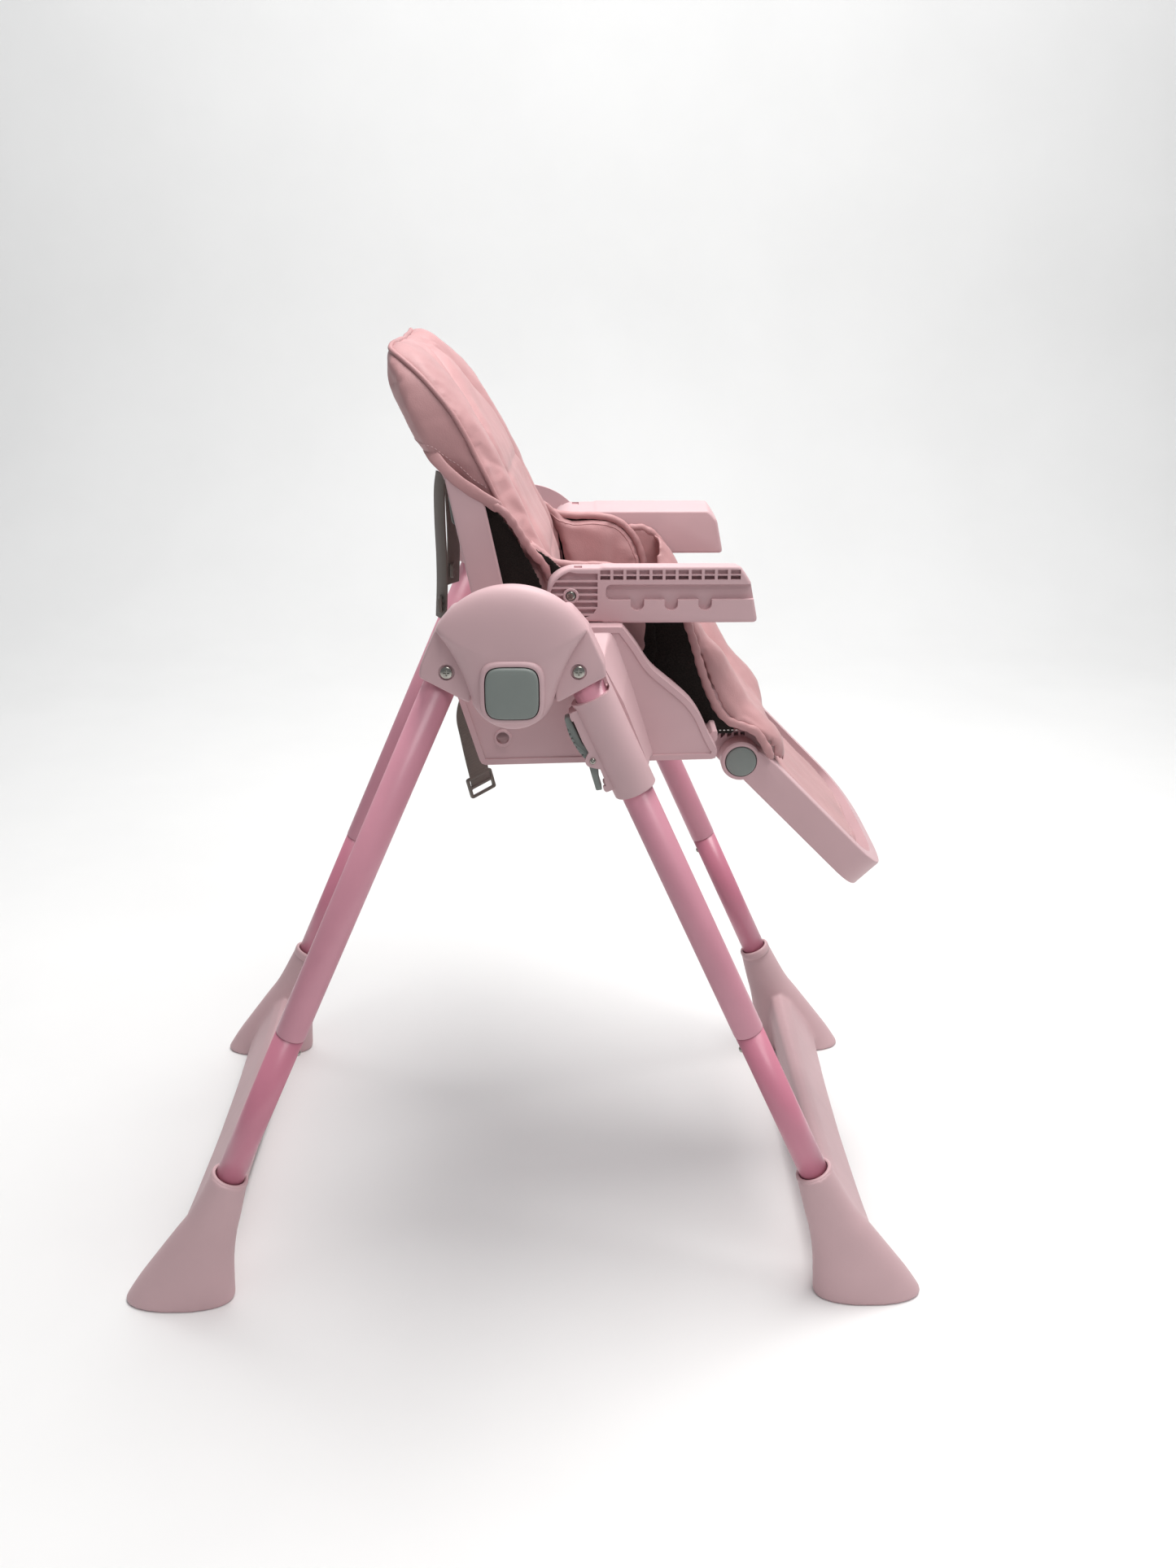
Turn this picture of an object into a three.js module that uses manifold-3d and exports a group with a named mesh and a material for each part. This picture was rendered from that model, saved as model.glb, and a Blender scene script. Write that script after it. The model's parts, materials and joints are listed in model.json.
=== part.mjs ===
// A folding baby high chair: two A-frames that fold about the hubs, a seat that slides down the front legs,
// a reclining backrest and a swinging footrest. Millimetres, +X to the front, +Y to the child's left, +Z up.
// The origin is on the floor, in the middle of the four feet.
import * as THREE from "three";
import { mergeVertices } from "three/addons/utils/BufferGeometryUtils.js";
import Module from "manifold-3d";

const wasm = await Module();
wasm.setup();

// ---- Driving dimensions ----
const GAP = 0.3; // left between pieces that touch
const HUB = { x: 0, z: 667 }; // the folding axis
const FRONT_LAYER = [250.2, 262]; // depths of the two brackets' plates, which turn past each other
const REAR_LAYER = [237, 249.8];
const BRACKET_HALF = 19;
const AXLE_R = 7;

const LEG = { x: 295.5, y: 250, z: 147.5, lean: THREE.MathUtils.degToRad(24.07) }; // centre of a socket's rim
const UPPER_R = 15; // upper leg tube
const UPPER_BORE = 12.8;
const LOWER_R = 14.5;
const LOWER_BORE = 12.2;
const SPIGOT_R = 12.4;
const SOCKET_DEPTH = 45;
const JOINT_S = 177; // distances up a leg from the socket's rim
const SPIGOT_TOP_S = 237;
const TUBE_TOP_S = 598;
const SCREW_S = 582.7;
const SCREW_R = 2.4;
const SCREW_HEAD_R = 5.4;

const LOCK_S = 530; // lock pin of the seat at its highest
const LOCK_PITCH = 40;
const LOCK_COUNT = 7;
const LOCK_R = 2.7;
const LOCK_TIP = -11.5;

const FOOT_Y = 252.5; // middle of a foot across the chair
const FOOT_SECTIONS = [
  // inner end [x, z], outer end [x, z], half width, squareness
  { inner: [303.0, 0], outer: [413.5, 0], half: 25.5, square: 2.3 },
  { inner: [302.0, 3], outer: [415.0, 3], half: 26.5, square: 2.3 },
  { inner: [301.0, 26], outer: [400.0, 26], half: 25.5, square: 2.3 },
  { inner: [299.0, 52], outer: [379.0, 54], half: 23.5, square: 2.3 },
  { inner: [294.0, 80], outer: [357.0, 83], half: 21.5, square: 2.2 },
  { inner: [288.0, 102], outer: [339.0, 107], half: 20.0, square: 2.1 },
  { inner: [278.6, 140], outer: [312.4, 155], half: 18.5, square: 2.0 },
];
const BAR_HALF = 240; // the bar ends inside the feet
const BAR_WALL = 3.5;

const COVER = { boss: 262.3, y0: 269.4, rim: 273, top: 290 }; // the hub cover's depth
const FAN_R = 74.5;
const FAN_Z = 684; // centre of the fan's arc
const BUTTON_HALF = 23;

const SEAT_SLEEVE = { low: 455, rear: 553, horn: 567, r: 20, inner: 15.6 };
const LEVER_PIVOT = { s: 499.3, p: -23.4 }; // along the leg, and across it towards the front
const LEVER_PIVOT_R = 2;
const RECLINE = { x: 10, z: 606 }; // the backrest's hinge
const HINGE_ROD_R = 5;
const LUG_Y = 100;

const PANEL_Y = [186, 195];
const PANEL_TOP = 700.6;
const PEG_HOLE = [-13.2, 594.2];
const ARM_Y = [140, 180];
const ARM_SCREW = [51.6, 726.6];
const ARM_SLOTS = { x: 78.6, count: 11, pitch: 12, width: 9.2, z: [741.4, 745.2] };
const ARM_NOTCHES = [113, 144.3, 175.6];
const WING_Y = [127, 139.3];
const PAD_HALF = 126; // half width of the seat cushion
const SHELL_HALF = 150;

const FOOTREST = { x: 220.9, z: 545.9, tilt: THREE.MathUtils.degToRad(45.6) };
const RAIL_Y = [108, 130];
const RAIL_N = [-11.6, 23.1]; // depth of a rail, below and above the pivot
const TOE_END = 206;
const HINGE_CLEAR = 36; // the footrest's floor starts this far from its pivot

const STRAP_W = 25;
const STRAP_T = 1.8;
const STRAP_Y = 80; // the shoulder straps' distance from the middle
const BUCKLE = { x: 100, top: 628, buttonR: 8.6 };
const TAIL_ROUTE = [[-47.5, 606], [-56, 592], [-58, 578], [-51, 545], [-45, 512.4]];

const ROUND = 16; // sides of a round piece
const FINE = 24; // sides of the large discs

// ---- Materials ----
function material(color, roughness, metalness = 0) {
  return new THREE.MeshStandardMaterial({ color, roughness, metalness });
}
const pinkPlastic = material(0xd3a3aa, 0.5);
const upperPaint = material(0xcf7f96, 0.4);
const lowerPaint = material(0xc8718c, 0.4);
const greyPlastic = material(0x8f9a98, 0.45);
const coverSkin = material(0xc98890, 0.55);
const webbing = material(0x8b8078, 0.85);
const steel = material(0xb9b9b6, 0.3, 1);

// ---- Solids ----
function toSolid(geometry) {
  const bare = geometry.index ? geometry.toNonIndexed() : geometry.clone();
  bare.deleteAttribute("normal");
  bare.deleteAttribute("uv");
  const merged = mergeVertices(bare, 1e-3);
  return new wasm.Manifold(
    new wasm.Mesh({
      numProp: 3,
      vertProperties: new Float32Array(merged.attributes.position.array),
      triVerts: new Uint32Array(merged.index.array),
    }),
  );
}

function toGeometry(solid) {
  const mesh = solid.getMesh();
  const geometry = new THREE.BufferGeometry();
  geometry.setAttribute("position", new THREE.BufferAttribute(new Float32Array(mesh.vertProperties), 3));
  geometry.setIndex(new THREE.BufferAttribute(new Uint32Array(mesh.triVerts), 1));
  geometry.computeVertexNormals();
  return geometry;
}

const join = (...shapes) => toGeometry(shapes.map(toSolid).reduce((a, b) => a.add(b)));
const cut = (body, ...tools) => toGeometry(tools.map(toSolid).reduce((a, b) => a.subtract(b), toSolid(body)));
const common = (a, b) => toGeometry(toSolid(a).intersect(toSolid(b)));

const outline = (points) => new THREE.Shape(points.map(([a, b]) => new THREE.Vector2(a, b)));

function extruded(points, depth) {
  const shape = points instanceof THREE.Shape ? points : outline(points);
  return new THREE.ExtrudeGeometry(shape, { depth, bevelEnabled: false, curveSegments: 5 });
}

// An outline in X and Z, given a thickness from y0 to y1.
const plate = (points, y0, y1) => extruded(points, y1 - y0).rotateX(Math.PI / 2).translate(0, y1, 0);

// An outline in X and Y, given a thickness from z0 to z1.
const slab = (points, z0, z1) => extruded(points, z1 - z0).translate(0, 0, z0);

function box(x0, x1, y0, y1, z0, z1) {
  const geometry = new THREE.BoxGeometry(x1 - x0, y1 - y0, z1 - z0);
  return geometry.translate((x0 + x1) / 2, (y0 + y1) / 2, (z0 + z1) / 2);
}

// A round rod along Y.
function rodY(r, y0, y1, x, z, sides = ROUND) {
  return new THREE.CylinderGeometry(r, r, y1 - y0, sides).translate(x, (y0 + y1) / 2, z);
}

// A round rod along X.
function rodX(r, x0, x1, y, z, sides = 12) {
  return new THREE.CylinderGeometry(r, r, x1 - x0, sides).rotateZ(Math.PI / 2).translate((x0 + x1) / 2, y, z);
}

// A turned piece along Z, from a closed profile of [radius, z].
function turned(profile, sides = ROUND) {
  const points = profile.map(([r, z]) => new THREE.Vector2(r, z));
  points.push(points[0].clone());
  return new THREE.LatheGeometry(points, sides).rotateX(Math.PI / 2);
}

// A round tool that cuts a bore along Z.
const bore = (r, low, high) => turned([[0, low], [r, low], [r, high], [0, high]]);

// A closed skin over rings of points that all have the same count.
function loft(rings) {
  const count = rings[0].length;
  const points = rings.flat();
  const faces = [];
  rings.slice(1).forEach((_, k) => {
    for (let i = 0; i < count; i += 1) {
      const a = k * count + i;
      const b = k * count + ((i + 1) % count);
      faces.push(a, b, b + count, a, b + count, a + count);
    }
  });
  [rings[0], rings[rings.length - 1]].forEach((ring, end) => {
    const first = end ? (rings.length - 1) * count : 0;
    const middle = points.length;
    points.push([0, 1, 2].map((axis) => ring.reduce((sum, p) => sum + p[axis], 0) / count));
    for (let i = 0; i < count; i += 1) {
      const a = first + i;
      const b = first + ((i + 1) % count);
      faces.push(...(end ? [a, b, middle] : [b, a, middle]));
    }
  });
  const geometry = new THREE.BufferGeometry();
  geometry.setAttribute("position", new THREE.Float32BufferAttribute(points.flat(), 3));
  geometry.setIndex(faces);
  return toSolid(geometry).volume() < 0 ? turnedOut(geometry) : geometry;
}

function turnedOut(geometry) {
  const index = Array.from(geometry.index.array);
  for (let i = 0; i < index.length; i += 3) [index[i + 1], index[i + 2]] = [index[i + 2], index[i + 1]];
  return geometry.setIndex(index);
}

// A rounded rectangle centred on a point.
function roundedRect(cx, cz, half, r) {
  const shape = new THREE.Shape();
  shape.absarc(cx + half - r, cz + half - r, r, 0, Math.PI / 2);
  shape.absarc(cx - half + r, cz + half - r, r, Math.PI / 2, Math.PI);
  shape.absarc(cx - half + r, cz - half + r, r, Math.PI, Math.PI * 1.5);
  shape.absarc(cx + half - r, cz - half + r, r, Math.PI * 1.5, Math.PI * 2);
  return shape;
}

// A smooth run of points through the given ones.
function smooth(points, count) {
  const curve = new THREE.SplineCurve(points.map(([a, b]) => new THREE.Vector2(a, b)));
  return curve.getPoints(count).map((p) => [p.x, p.y]);
}

// A flat strap along a route in X and Z, of constant width across Y.
function strap(route, y, width = STRAP_W, thickness = STRAP_T) {
  const points = route.map(([x, z]) => new THREE.Vector2(x, z));
  const side = (sign) =>
    points.map((p, i) => {
      const before = points[Math.max(i - 1, 0)];
      const after = points[Math.min(i + 1, points.length - 1)];
      const along = after.clone().sub(before).normalize();
      return [p.x - along.y * sign * thickness * 0.5, p.y + along.x * sign * thickness * 0.5];
    });
  return plate([...side(1), ...side(-1).reverse()], y - width / 2, y + width / 2);
}

// ---- Placing ----
const chair = new THREE.Group();
const place = (group, name, geometry, finish) => {
  const mesh = new THREE.Mesh(geometry, finish);
  mesh.name = name;
  group.add(mesh);
};

// Everything that the chair has twice is drawn on the child's left and mirrored to the right.
const sides = ["left", "right"].map((side) => {
  const group = new THREE.Group();
  group.scale.y = side === "left" ? 1 : -1;
  chair.add(group);
  return { side, group };
});
const onBothSides = (name, geometry, finish) =>
  sides.forEach(({ side, group }) => place(group, `${name}_${side}`, geometry, finish));

// A leg's own frame: Z runs up the leg from the socket's rim, X points to the chair's outside.
const onLeg = (geometry) => geometry.rotateY(-LEG.lean).translate(LEG.x, LEG.y, LEG.z);
const mirrored = (geometry, x, y) => turnedOut(toGeometry(toSolid(geometry)).scale(x, y, 1));
const toRear = (geometry) => mirrored(geometry, -1, 1);

// ---- Legs and bases ----
function footRing({ inner, outer, half, square }) {
  const power = (v) => Math.sign(v) * Math.abs(v) ** (2 / square);
  return Array.from({ length: ROUND }, (_, i) => {
    const angle = (i / ROUND) * Math.PI * 2;
    const along = 0.5 + 0.5 * power(Math.cos(angle));
    return [
      inner[0] + (outer[0] - inner[0]) * along,
      FOOT_Y + half * power(Math.sin(angle)),
      inner[1] + (outer[1] - inner[1]) * along,
    ];
  });
}

// Half of the bar's outline at a distance from the middle: it rises and widens towards the feet.
function barRing(y, inset) {
  const rise = 12 * (Math.abs(y) / BAR_HALF) ** 3;
  const spread = 6 * (Math.abs(y) / BAR_HALF) ** 2;
  const upright = [
    [326 + inset, 12],
    [321 - spread * 0.5 + inset, 48 + rise * 0.5],
    [323 - spread * 0.5 + inset * 0.7, 68 + rise - inset * 0.7],
    [331, 73 + rise - inset],
    [339 + spread * 0.5 - inset * 0.6, 68 + rise - inset * 0.8],
    [360 + spread - inset * 0.7, 41 + rise * 0.5 - inset * 0.7],
    [372 + spread - inset, 24],
    [373 + spread - inset, 12],
  ];
  return upright.map(([x, z]) => [x, y, z]);
}

function base() {
  const stations = Array.from({ length: 7 }, (_, i) => (i / 3 - 1) * BAR_HALF);
  const bar = loft(stations.map((y) => barRing(y, 0)));
  const hollow = loft(stations.map((y) => barRing(y * 0.9, BAR_WALL)));
  const foot = loft(FOOT_SECTIONS.map(footRing));
  const otherFoot = mirrored(foot, 1, -1);
  const socket = onLeg(bore(LOWER_R + GAP, -SOCKET_DEPTH, 20));
  const otherSocket = mirrored(socket, 1, -1);
  const openBelow = hollow.clone().translate(0, 0, -0.5);
  return cut(join(cut(bar, openBelow), foot, otherFoot), socket, otherSocket);
}

function lowerTube() {
  return onLeg(
    turned([
      [LOWER_BORE - 2, -SOCKET_DEPTH + GAP],
      [LOWER_R, -SOCKET_DEPTH + GAP],
      [LOWER_R, JOINT_S],
      [SPIGOT_R, JOINT_S],
      [SPIGOT_R, SPIGOT_TOP_S],
      [LOWER_BORE - 2, SPIGOT_TOP_S],
    ]),
  );
}

function upperTube(lockHoles) {
  const low = JOINT_S + GAP;
  const tube = turned([
    [UPPER_BORE, low],
    [UPPER_R, low],
    [UPPER_R, TUBE_TOP_S],
    [UPPER_BORE, TUBE_TOP_S],
  ]);
  const holes = Array.from({ length: lockHoles }, (_, i) =>
    rodX(LOCK_R + GAP, -UPPER_R - 3, -UPPER_BORE + 3, 0, LOCK_S - i * LOCK_PITCH),
  );
  const screwHole = rodY(SCREW_R + GAP, -20, 20, 0, SCREW_S, 12);
  return onLeg(cut(tube, screwHole, ...holes));
}

// ---- Hub ----
const BRACKET = [
  [40.5, 653],
  [80, 680],
  [79, 692],
  [68, 722],
  [42, 738],
  [22, 716],
  [33, 690],
];
const WEB = [
  [16, 640],
  [44, 656],
  [60, 700],
  [42, 736],
  [6, 700],
];

// The bracket's plate for the axle lies in its own layer, and the body leaves room for the other bracket's.
function bracket(layer, room) {
  const body = plate(BRACKET, LEG.y - BRACKET_HALF, LEG.y + BRACKET_HALF);
  const disc = rodY(36, ...layer, HUB.x, HUB.z, FINE);
  const web = plate(WEB, ...layer);
  const tubeBore = onLeg(bore(UPPER_R + GAP, 540, TUBE_TOP_S + GAP));
  const turning = rodY(37.5, ...room, HUB.x, HUB.z, FINE);
  const axleHole = rodY(AXLE_R + GAP, 200, 300, HUB.x, HUB.z);
  const screwHole = onLeg(rodY(SCREW_R + GAP, -30, 30, 0, SCREW_S, 12));
  return cut(join(cut(body, turning), disc, web), tubeBore, axleHole, screwHole);
}

function hubScrew() {
  const shank = rodY(SCREW_R, -15, 20, 0, SCREW_S, 12);
  const head = rodY(SCREW_HEAD_R, BRACKET_HALF + GAP, BRACKET_HALF + 2.6, 0, SCREW_S);
  return onLeg(join(shank, head));
}

function axlePin() {
  const shank = rodY(AXLE_R, 228, COVER.boss - GAP, HUB.x, HUB.z);
  return join(shank, rodY(11, 225, 230, HUB.x, HUB.z));
}

// The cover's outline: a fan over the hub, with sides that curve in to a round below it.
function coverOutline() {
  const tip = 0.435; // angle of the fan's tip above the horizontal
  const fan = Array.from({ length: 13 }, (_, i) => {
    const angle = tip + ((Math.PI - 2 * tip) * i) / 12;
    return [FAN_R * Math.cos(angle), FAN_Z + FAN_R * Math.sin(angle)];
  });
  const lowR = 37;
  const low = Array.from({ length: 7 }, (_, i) => {
    const angle = Math.PI * (1.08 + (0.84 * i) / 6);
    return [lowR * Math.cos(angle), HUB.z + lowR * Math.sin(angle)];
  });
  return [...fan, [-56, 700], [-44, 676], ...low, [44, 676], [56, 700]];
}

function hubCover() {
  const flat = coverOutline();
  const middle = [0, 690];
  const steps = [
    [1, COVER.y0],
    [1, COVER.rim],
    [0.975, COVER.rim + 4.5],
    [0.9, COVER.rim + 9.5],
    [0.74, COVER.rim + 14],
    [0.45, COVER.top],
  ];
  const shrunk = ([x, z], k) => [middle[0] + (x - middle[0]) * k, middle[1] + (z - middle[1]) * k];
  const ring = (k, y) => flat.map((p) => shrunk(p, k)).map(([x, z]) => [x, y, z]);
  const rings = steps.map(([k, y]) => ring(k, y));
  const rim = plate(roundedRect(HUB.x, HUB.z, BUTTON_HALF + 5, 10), COVER.rim, COVER.top + 2.5);
  const pocket = plate(roundedRect(HUB.x, HUB.z, BUTTON_HALF + 0.6, 7.5), COVER.rim + 2, COVER.top + 10);
  const boss = rodY(20, COVER.boss, COVER.rim, HUB.x, HUB.z);
  return cut(join(loft(rings), rim, boss), pocket);
}

// ---- Seat ----
const PANEL_FRONT = smooth(
  [
    [189.5, 577.6],
    [173.2, 613.3],
    [161.6, 629.8],
    [143.4, 646.1],
    [125.3, 662.3],
    [111.8, 682.9],
    [98.4, 699],
  ],
  14,
);

function sidePanel() {
  const edge = [
    [-30, 565],
    [188, 571],
    ...PANEL_FRONT,
    [95, PANEL_TOP],
    [-36, PANEL_TOP],
    [-50, 690],
    [-53, 630],
    [-36, 572],
  ];
  const lipInner = PANEL_FRONT.map(([x, z]) => [x - 7, z - 5]).reverse();
  const lipTop = [
    [95, PANEL_TOP],
    [-36, PANEL_TOP],
    [-36, PANEL_TOP - 7],
    [89, PANEL_TOP - 7],
  ];
  const lip = plate([...PANEL_FRONT, ...lipTop, ...lipInner], PANEL_Y[0] - 14, PANEL_Y[1] + 1.5);
  const recess = rodY(6, PANEL_Y[1] - 6, PANEL_Y[1] + 5, ...PEG_HOLE);
  const bead = rodY(9, PANEL_Y[1] - 3, PANEL_Y[1] + 1.2, ...PEG_HOLE);
  return cut(join(plate(edge, ...PANEL_Y), lip, bead), recess);
}

function seatPan() {
  const floor = [
    [-36, 570],
    [184, 576],
    [192, 583],
    [192, 592],
    [186, 592],
    [182, 584],
    [-28, 577],
    [-37.5, 610],
    [-43, 610],
  ];
  const reach = PANEL_Y[0] - GAP;
  const lipRoom = [box(172, 200, 171.5, reach + 5, 560, 600), box(172, 200, -reach - 5, -171.5, 560, 600)];
  return cut(plate(floor, -reach, reach), ...lipRoom);
}

// The sleeve rides on the front leg; two cheeks behind it hold the lever's pivot.
function sleeve() {
  const { low, rear, horn, r, inner } = SEAT_SLEEVE;
  const tube = turned([[inner, low], [r, low], [r, horn], [inner, horn]]);
  const above = plate([[-30, rear - 3], [r + 2, horn + 1], [r + 2, horn + 20], [-30, horn + 20]], -40, 40);
  const cheek = (y0, y1) => box(-29, -13, y0, y1, 466, 551);
  const boss = box(-11, 11, PANEL_Y[1] - LEG.y + 1.5, -r + 3, 478, 545);
  const pivot = rodY(LEVER_PIVOT_R, -8, 8, LEVER_PIVOT.p, LEVER_PIVOT.s, 12);
  const bridge = box(-25, -17, -8, 8, 546, 551);
  const body = join(cut(tube, above), cheek(6.2, 10), cheek(-10, -6.2), boss, pivot, bridge);
  const pinHole = rodX(LOCK_R + GAP, -r - 2, -inner + 3, 0, LOCK_S);
  return onLeg(cut(body, bore(inner, low - 5, horn + 5), pinHole));
}

// Across and along the leg: the face is outside, and the back clears the sleeve when the lever is squeezed.
function heightLever() {
  const face = smooth(
    [
      [-32, 543],
      [-33.5, 516],
      [-30, 497],
      [-32.5, 470],
    ],
    10,
  );
  const back = [
    [-27.4, 470],
    [-25.8, 480],
    [-22.4, 489],
    [-20.7, 496],
    [-20.8, 508],
    [-25.8, 516],
    [-25.8, 543],
  ];
  const hole = rodY(LEVER_PIVOT_R + GAP + 0.1, -10, 10, LEVER_PIVOT.p, LEVER_PIVOT.s, 12);
  return onLeg(cut(plate([...face, ...back], -5.8, 5.8), hole));
}

function lockPin() {
  const head = rodX(4.2, -24.5, -22, 0, LOCK_S, 16);
  return onLeg(join(rodX(LOCK_R, -23, LOCK_TIP, 0, LOCK_S), head));
}

function armrest() {
  const body = new THREE.Shape();
  body.moveTo(72, 701);
  body.lineTo(224.5, 701);
  body.lineTo(213.2, 741.4);
  body.lineTo(207.5, 753);
  body.lineTo(51, 755);
  body.bezierCurveTo(37, 755, 29, 742, 29, 730);
  body.bezierCurveTo(29, 712, 48, 701, 72, 701);
  const [inside, outside] = ARM_Y;
  const past = outside + 5;
  const ribs = Array.from({ length: 6 }, (_, i) => {
    const z = 709.9 + i * 6.3;
    return box(37, 76, outside - 4, past, z, z + 4);
  });
  const boss = rodY(8.5, outside - 6, outside + 0.5, ...ARM_SCREW);
  const screwHole = rodY(2.6, outside - 20, past + 5, ...ARM_SCREW, 12);
  const slots = Array.from({ length: ARM_SLOTS.count }, (_, i) => {
    const x = ARM_SLOTS.x + i * ARM_SLOTS.pitch;
    return box(x, x + ARM_SLOTS.width, outside - 5, past, ...ARM_SLOTS.z);
  });
  const recess = box(83.8, 240, outside - 3, past, 722.4, 737);
  const notches = ARM_NOTCHES.map((x) => rodY(6.2, outside - 3, past, x, 720));
  const opening = [
    [78, 695],
    [214, 695],
    [211, 709],
    [80, 709],
  ];
  const below = plate(opening, inside + 4, outside - 8);
  const ribbed = cut(plate(body, inside, outside), below, ...ribs);
  return cut(join(ribbed, boss), screwHole, recess, ...slots, ...notches);
}

function armrestScrew() {
  const out = ARM_Y[1];
  const shank = rodY(2.3, out - 18, out + 2, ...ARM_SCREW, 12);
  return join(shank, rodY(4.6, out + 0.8, out + 2.8, ...ARM_SCREW));
}

function footrestBracket() {
  const { x, z } = FOOTREST;
  const arm = [
    [183, 560],
    [x, z - 19],
    [x + 19, z],
    [x + 19, z + 12],
    [x + 8, 571],
    [192.5, 572],
    [192.5, 568],
  ];
  const plateIn = plate(arm, 84, RAIL_Y[0] - GAP);
  const knuckle = rodY(19.5, 84, RAIL_Y[0] - GAP, x, z);
  const pin = rodY(6, RAIL_Y[0] - 2, 120, x, z);
  const ribs = Array.from({ length: 5 }, (_, i) => box(196 + i * 6.5, 199 + i * 6.5, 88, 112, 566, 576));
  return join(plateIn, knuckle, pin, box(192.6, 204, 84, RAIL_Y[0] - GAP, 565, 573));
}

function seatCushion() {
  const profile = smooth(
    [
      [49, 588],
      [47, 600],
      [50, 612],
      [90, 613],
      [140, 612],
      [164, 609],
      [168, 598],
      [165, 588],
    ],
    16,
  );
  return plate(profile, -PAD_HALF, PAD_HALF);
}

function wing() {
  const upper = smooth(
    [
      [15, 760],
      [34, 749],
      [52, 745],
      [84, 741],
      [107, 733],
      [125, 715],
      [135, 687],
      [138, 666],
      [133, 645],
    ],
    22,
  );
  const lower = [
    [120, 622],
    [60, 618],
    [46.5, 640],
    [44.5, 660],
    [38.5, 702],
    [27, 745],
  ];
  return plate([...upper, ...lower], ...WING_Y);
}

// The pad over the seat's front edge, with a guard standing up at each side.
function legPad() {
  const middle = smooth(
    [
      [170, 606],
      [184, 618],
      [200, 614],
      [222, 597],
      [240, 582],
      [232, 574],
      [212, 588],
      [195, 599],
    ],
    20,
  );
  const guard = smooth(
    [
      [141.5, 722],
      [150, 722],
      [158, 714],
      [170, 689],
      [178, 660],
      [187, 633],
      [202, 611],
      [228, 597],
      [244, 584],
    ],
    22,
  );
  const flap = [...guard, [236, 576], [200, 596], [170, 600], [141.5, 645]];
  const flaps = [plate(flap, ...WING_Y), plate(flap, -WING_Y[1], -WING_Y[0])];
  return join(plate(middle, -WING_Y[0] - 1, WING_Y[0] + 1), ...flaps);
}

function discZ(r, thickness) {
  const disc = new THREE.CylinderGeometry(r, r, thickness, 20).rotateX(Math.PI / 2);
  return disc.translate(BUCKLE.x, 0, BUCKLE.top);
}

function harnessBuckle() {
  const body = slab(roundedRect(BUCKLE.x, 0, 22, 8), BUCKLE.top - 14, BUCKLE.top);
  return cut(body, discZ(BUCKLE.buttonR + 0.7, 10));
}

function buckleButton() {
  return discZ(BUCKLE.buttonR, 4);
}

function lapStrap() {
  const route = [
    [22.6, 619],
    [60, 617],
    [100, 618],
    [WING_Y[0] - 1, 632],
  ];
  return strap(route, 0).rotateZ(Math.PI / 2).translate(100, 0, 0);
}

function tailBuckle() {
  const frameOuter = box(-46.5, -42.5, -97, -63, 487, 512);
  const bars = [box(-50, -40, -92.5, -67.5, 491, 497.5), box(-50, -40, -92.5, -67.5, 501.5, 508)];
  return cut(frameOuter, ...bars);
}

// ---- Backrest ----
function backShell() {
  const side = [
    [-64, 830],
    [-56, 833],
    [-30, 808],
    [-26, 803],
    [-12, 730],
    [7, 640],
    [9, 622],
    [-14, 622],
    [-24, 640],
    [-36, 700],
    [-38, 716],
    [-42, 722],
  ];
  const hollow = [
    [-58, 828],
    [-46, 840],
    [0, 840],
    [30, 610],
    [-9, 610],
    [-19, 640],
    [-32, 702],
    [-37, 724],
  ];
  const spine = [
    [-66, 822],
    [-108, 925],
    [-100, 928],
    [-57, 826],
  ];
  const slots = [-STRAP_Y, STRAP_Y].map((y) => box(-120, 0, y - 15, y + 15, 858, 866));
  const lower = cut(plate(side, -SHELL_HALF, SHELL_HALF), plate(hollow, -SHELL_HALF + 4, SHELL_HALF - 4));
  const upper = plate(spine, -118, 118);
  const lugs = [-LUG_Y, LUG_Y].map((y) =>
    join(rodY(11, y - 6, y + 6, RECLINE.x, RECLINE.z), box(-14, 8, y - 6, y + 6, 600, 636)),
  );
  const rodHole = rodY(HINGE_ROD_R + 0.5, -200, 200, RECLINE.x, RECLINE.z);
  return cut(join(lower, upper, ...lugs), ...slots, rodHole);
}

function hingeRod() {
  return rodY(HINGE_ROD_R, -PANEL_Y[0] + 1, PANEL_Y[0] - 1, RECLINE.x, RECLINE.z);
}

// The padded cover of the backrest: its hood closes over the shell's top.
function backCushion() {
  const front = smooth(
    [
      [-112, 955],
      [-97, 940],
      [-74, 915],
      [-50, 882],
      [-30, 845],
      [-14, 806],
      [5, 770],
      [22, 745],
      [34, 702],
      [40, 650],
      [41, 622],
    ],
    24,
  );
  const rear = [
    [16, 622],
    [14, 640],
    [-8, 731],
    [-22, 805],
    [-28, 812],
    [-55, 836],
    [-68, 838],
    [-95, 879],
    [-113, 915],
    [-124, 940],
    [-121, 952],
  ];
  const body = plate([...front, ...rear], -SHELL_HALF - 2, SHELL_HALF + 2);
  const arch = new THREE.Shape();
  arch.moveTo(-600, -152);
  arch.lineTo(-850, -152);
  arch.bezierCurveTo(-930, -152, -960, -110, -960, -40);
  arch.lineTo(-960, 40);
  arch.bezierCurveTo(-960, 110, -930, 152, -850, 152);
  arch.lineTo(-600, 152);
  const standing = slab(arch, -200, 100).rotateY(Math.PI / 2);
  const spineRoom = [
    [-69, 821],
    [-112, 929],
    [-98, 932],
    [-54, 825],
  ];
  const room = plate(spineRoom, -119, 119);
  return cut(common(body, standing), room);
}

function shoulderStrap() {
  const route = smooth(
    [
      [-73, 818],
      [-74, 786],
      [-74, 746],
      [-75, 712],
      [-77, 681],
    ],
    8,
  );
  const adjuster = box(-79.5, -74, STRAP_Y - 14.5, STRAP_Y + 14.5, 690, 703);
  return join(strap(route, STRAP_Y), adjuster);
}

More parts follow.
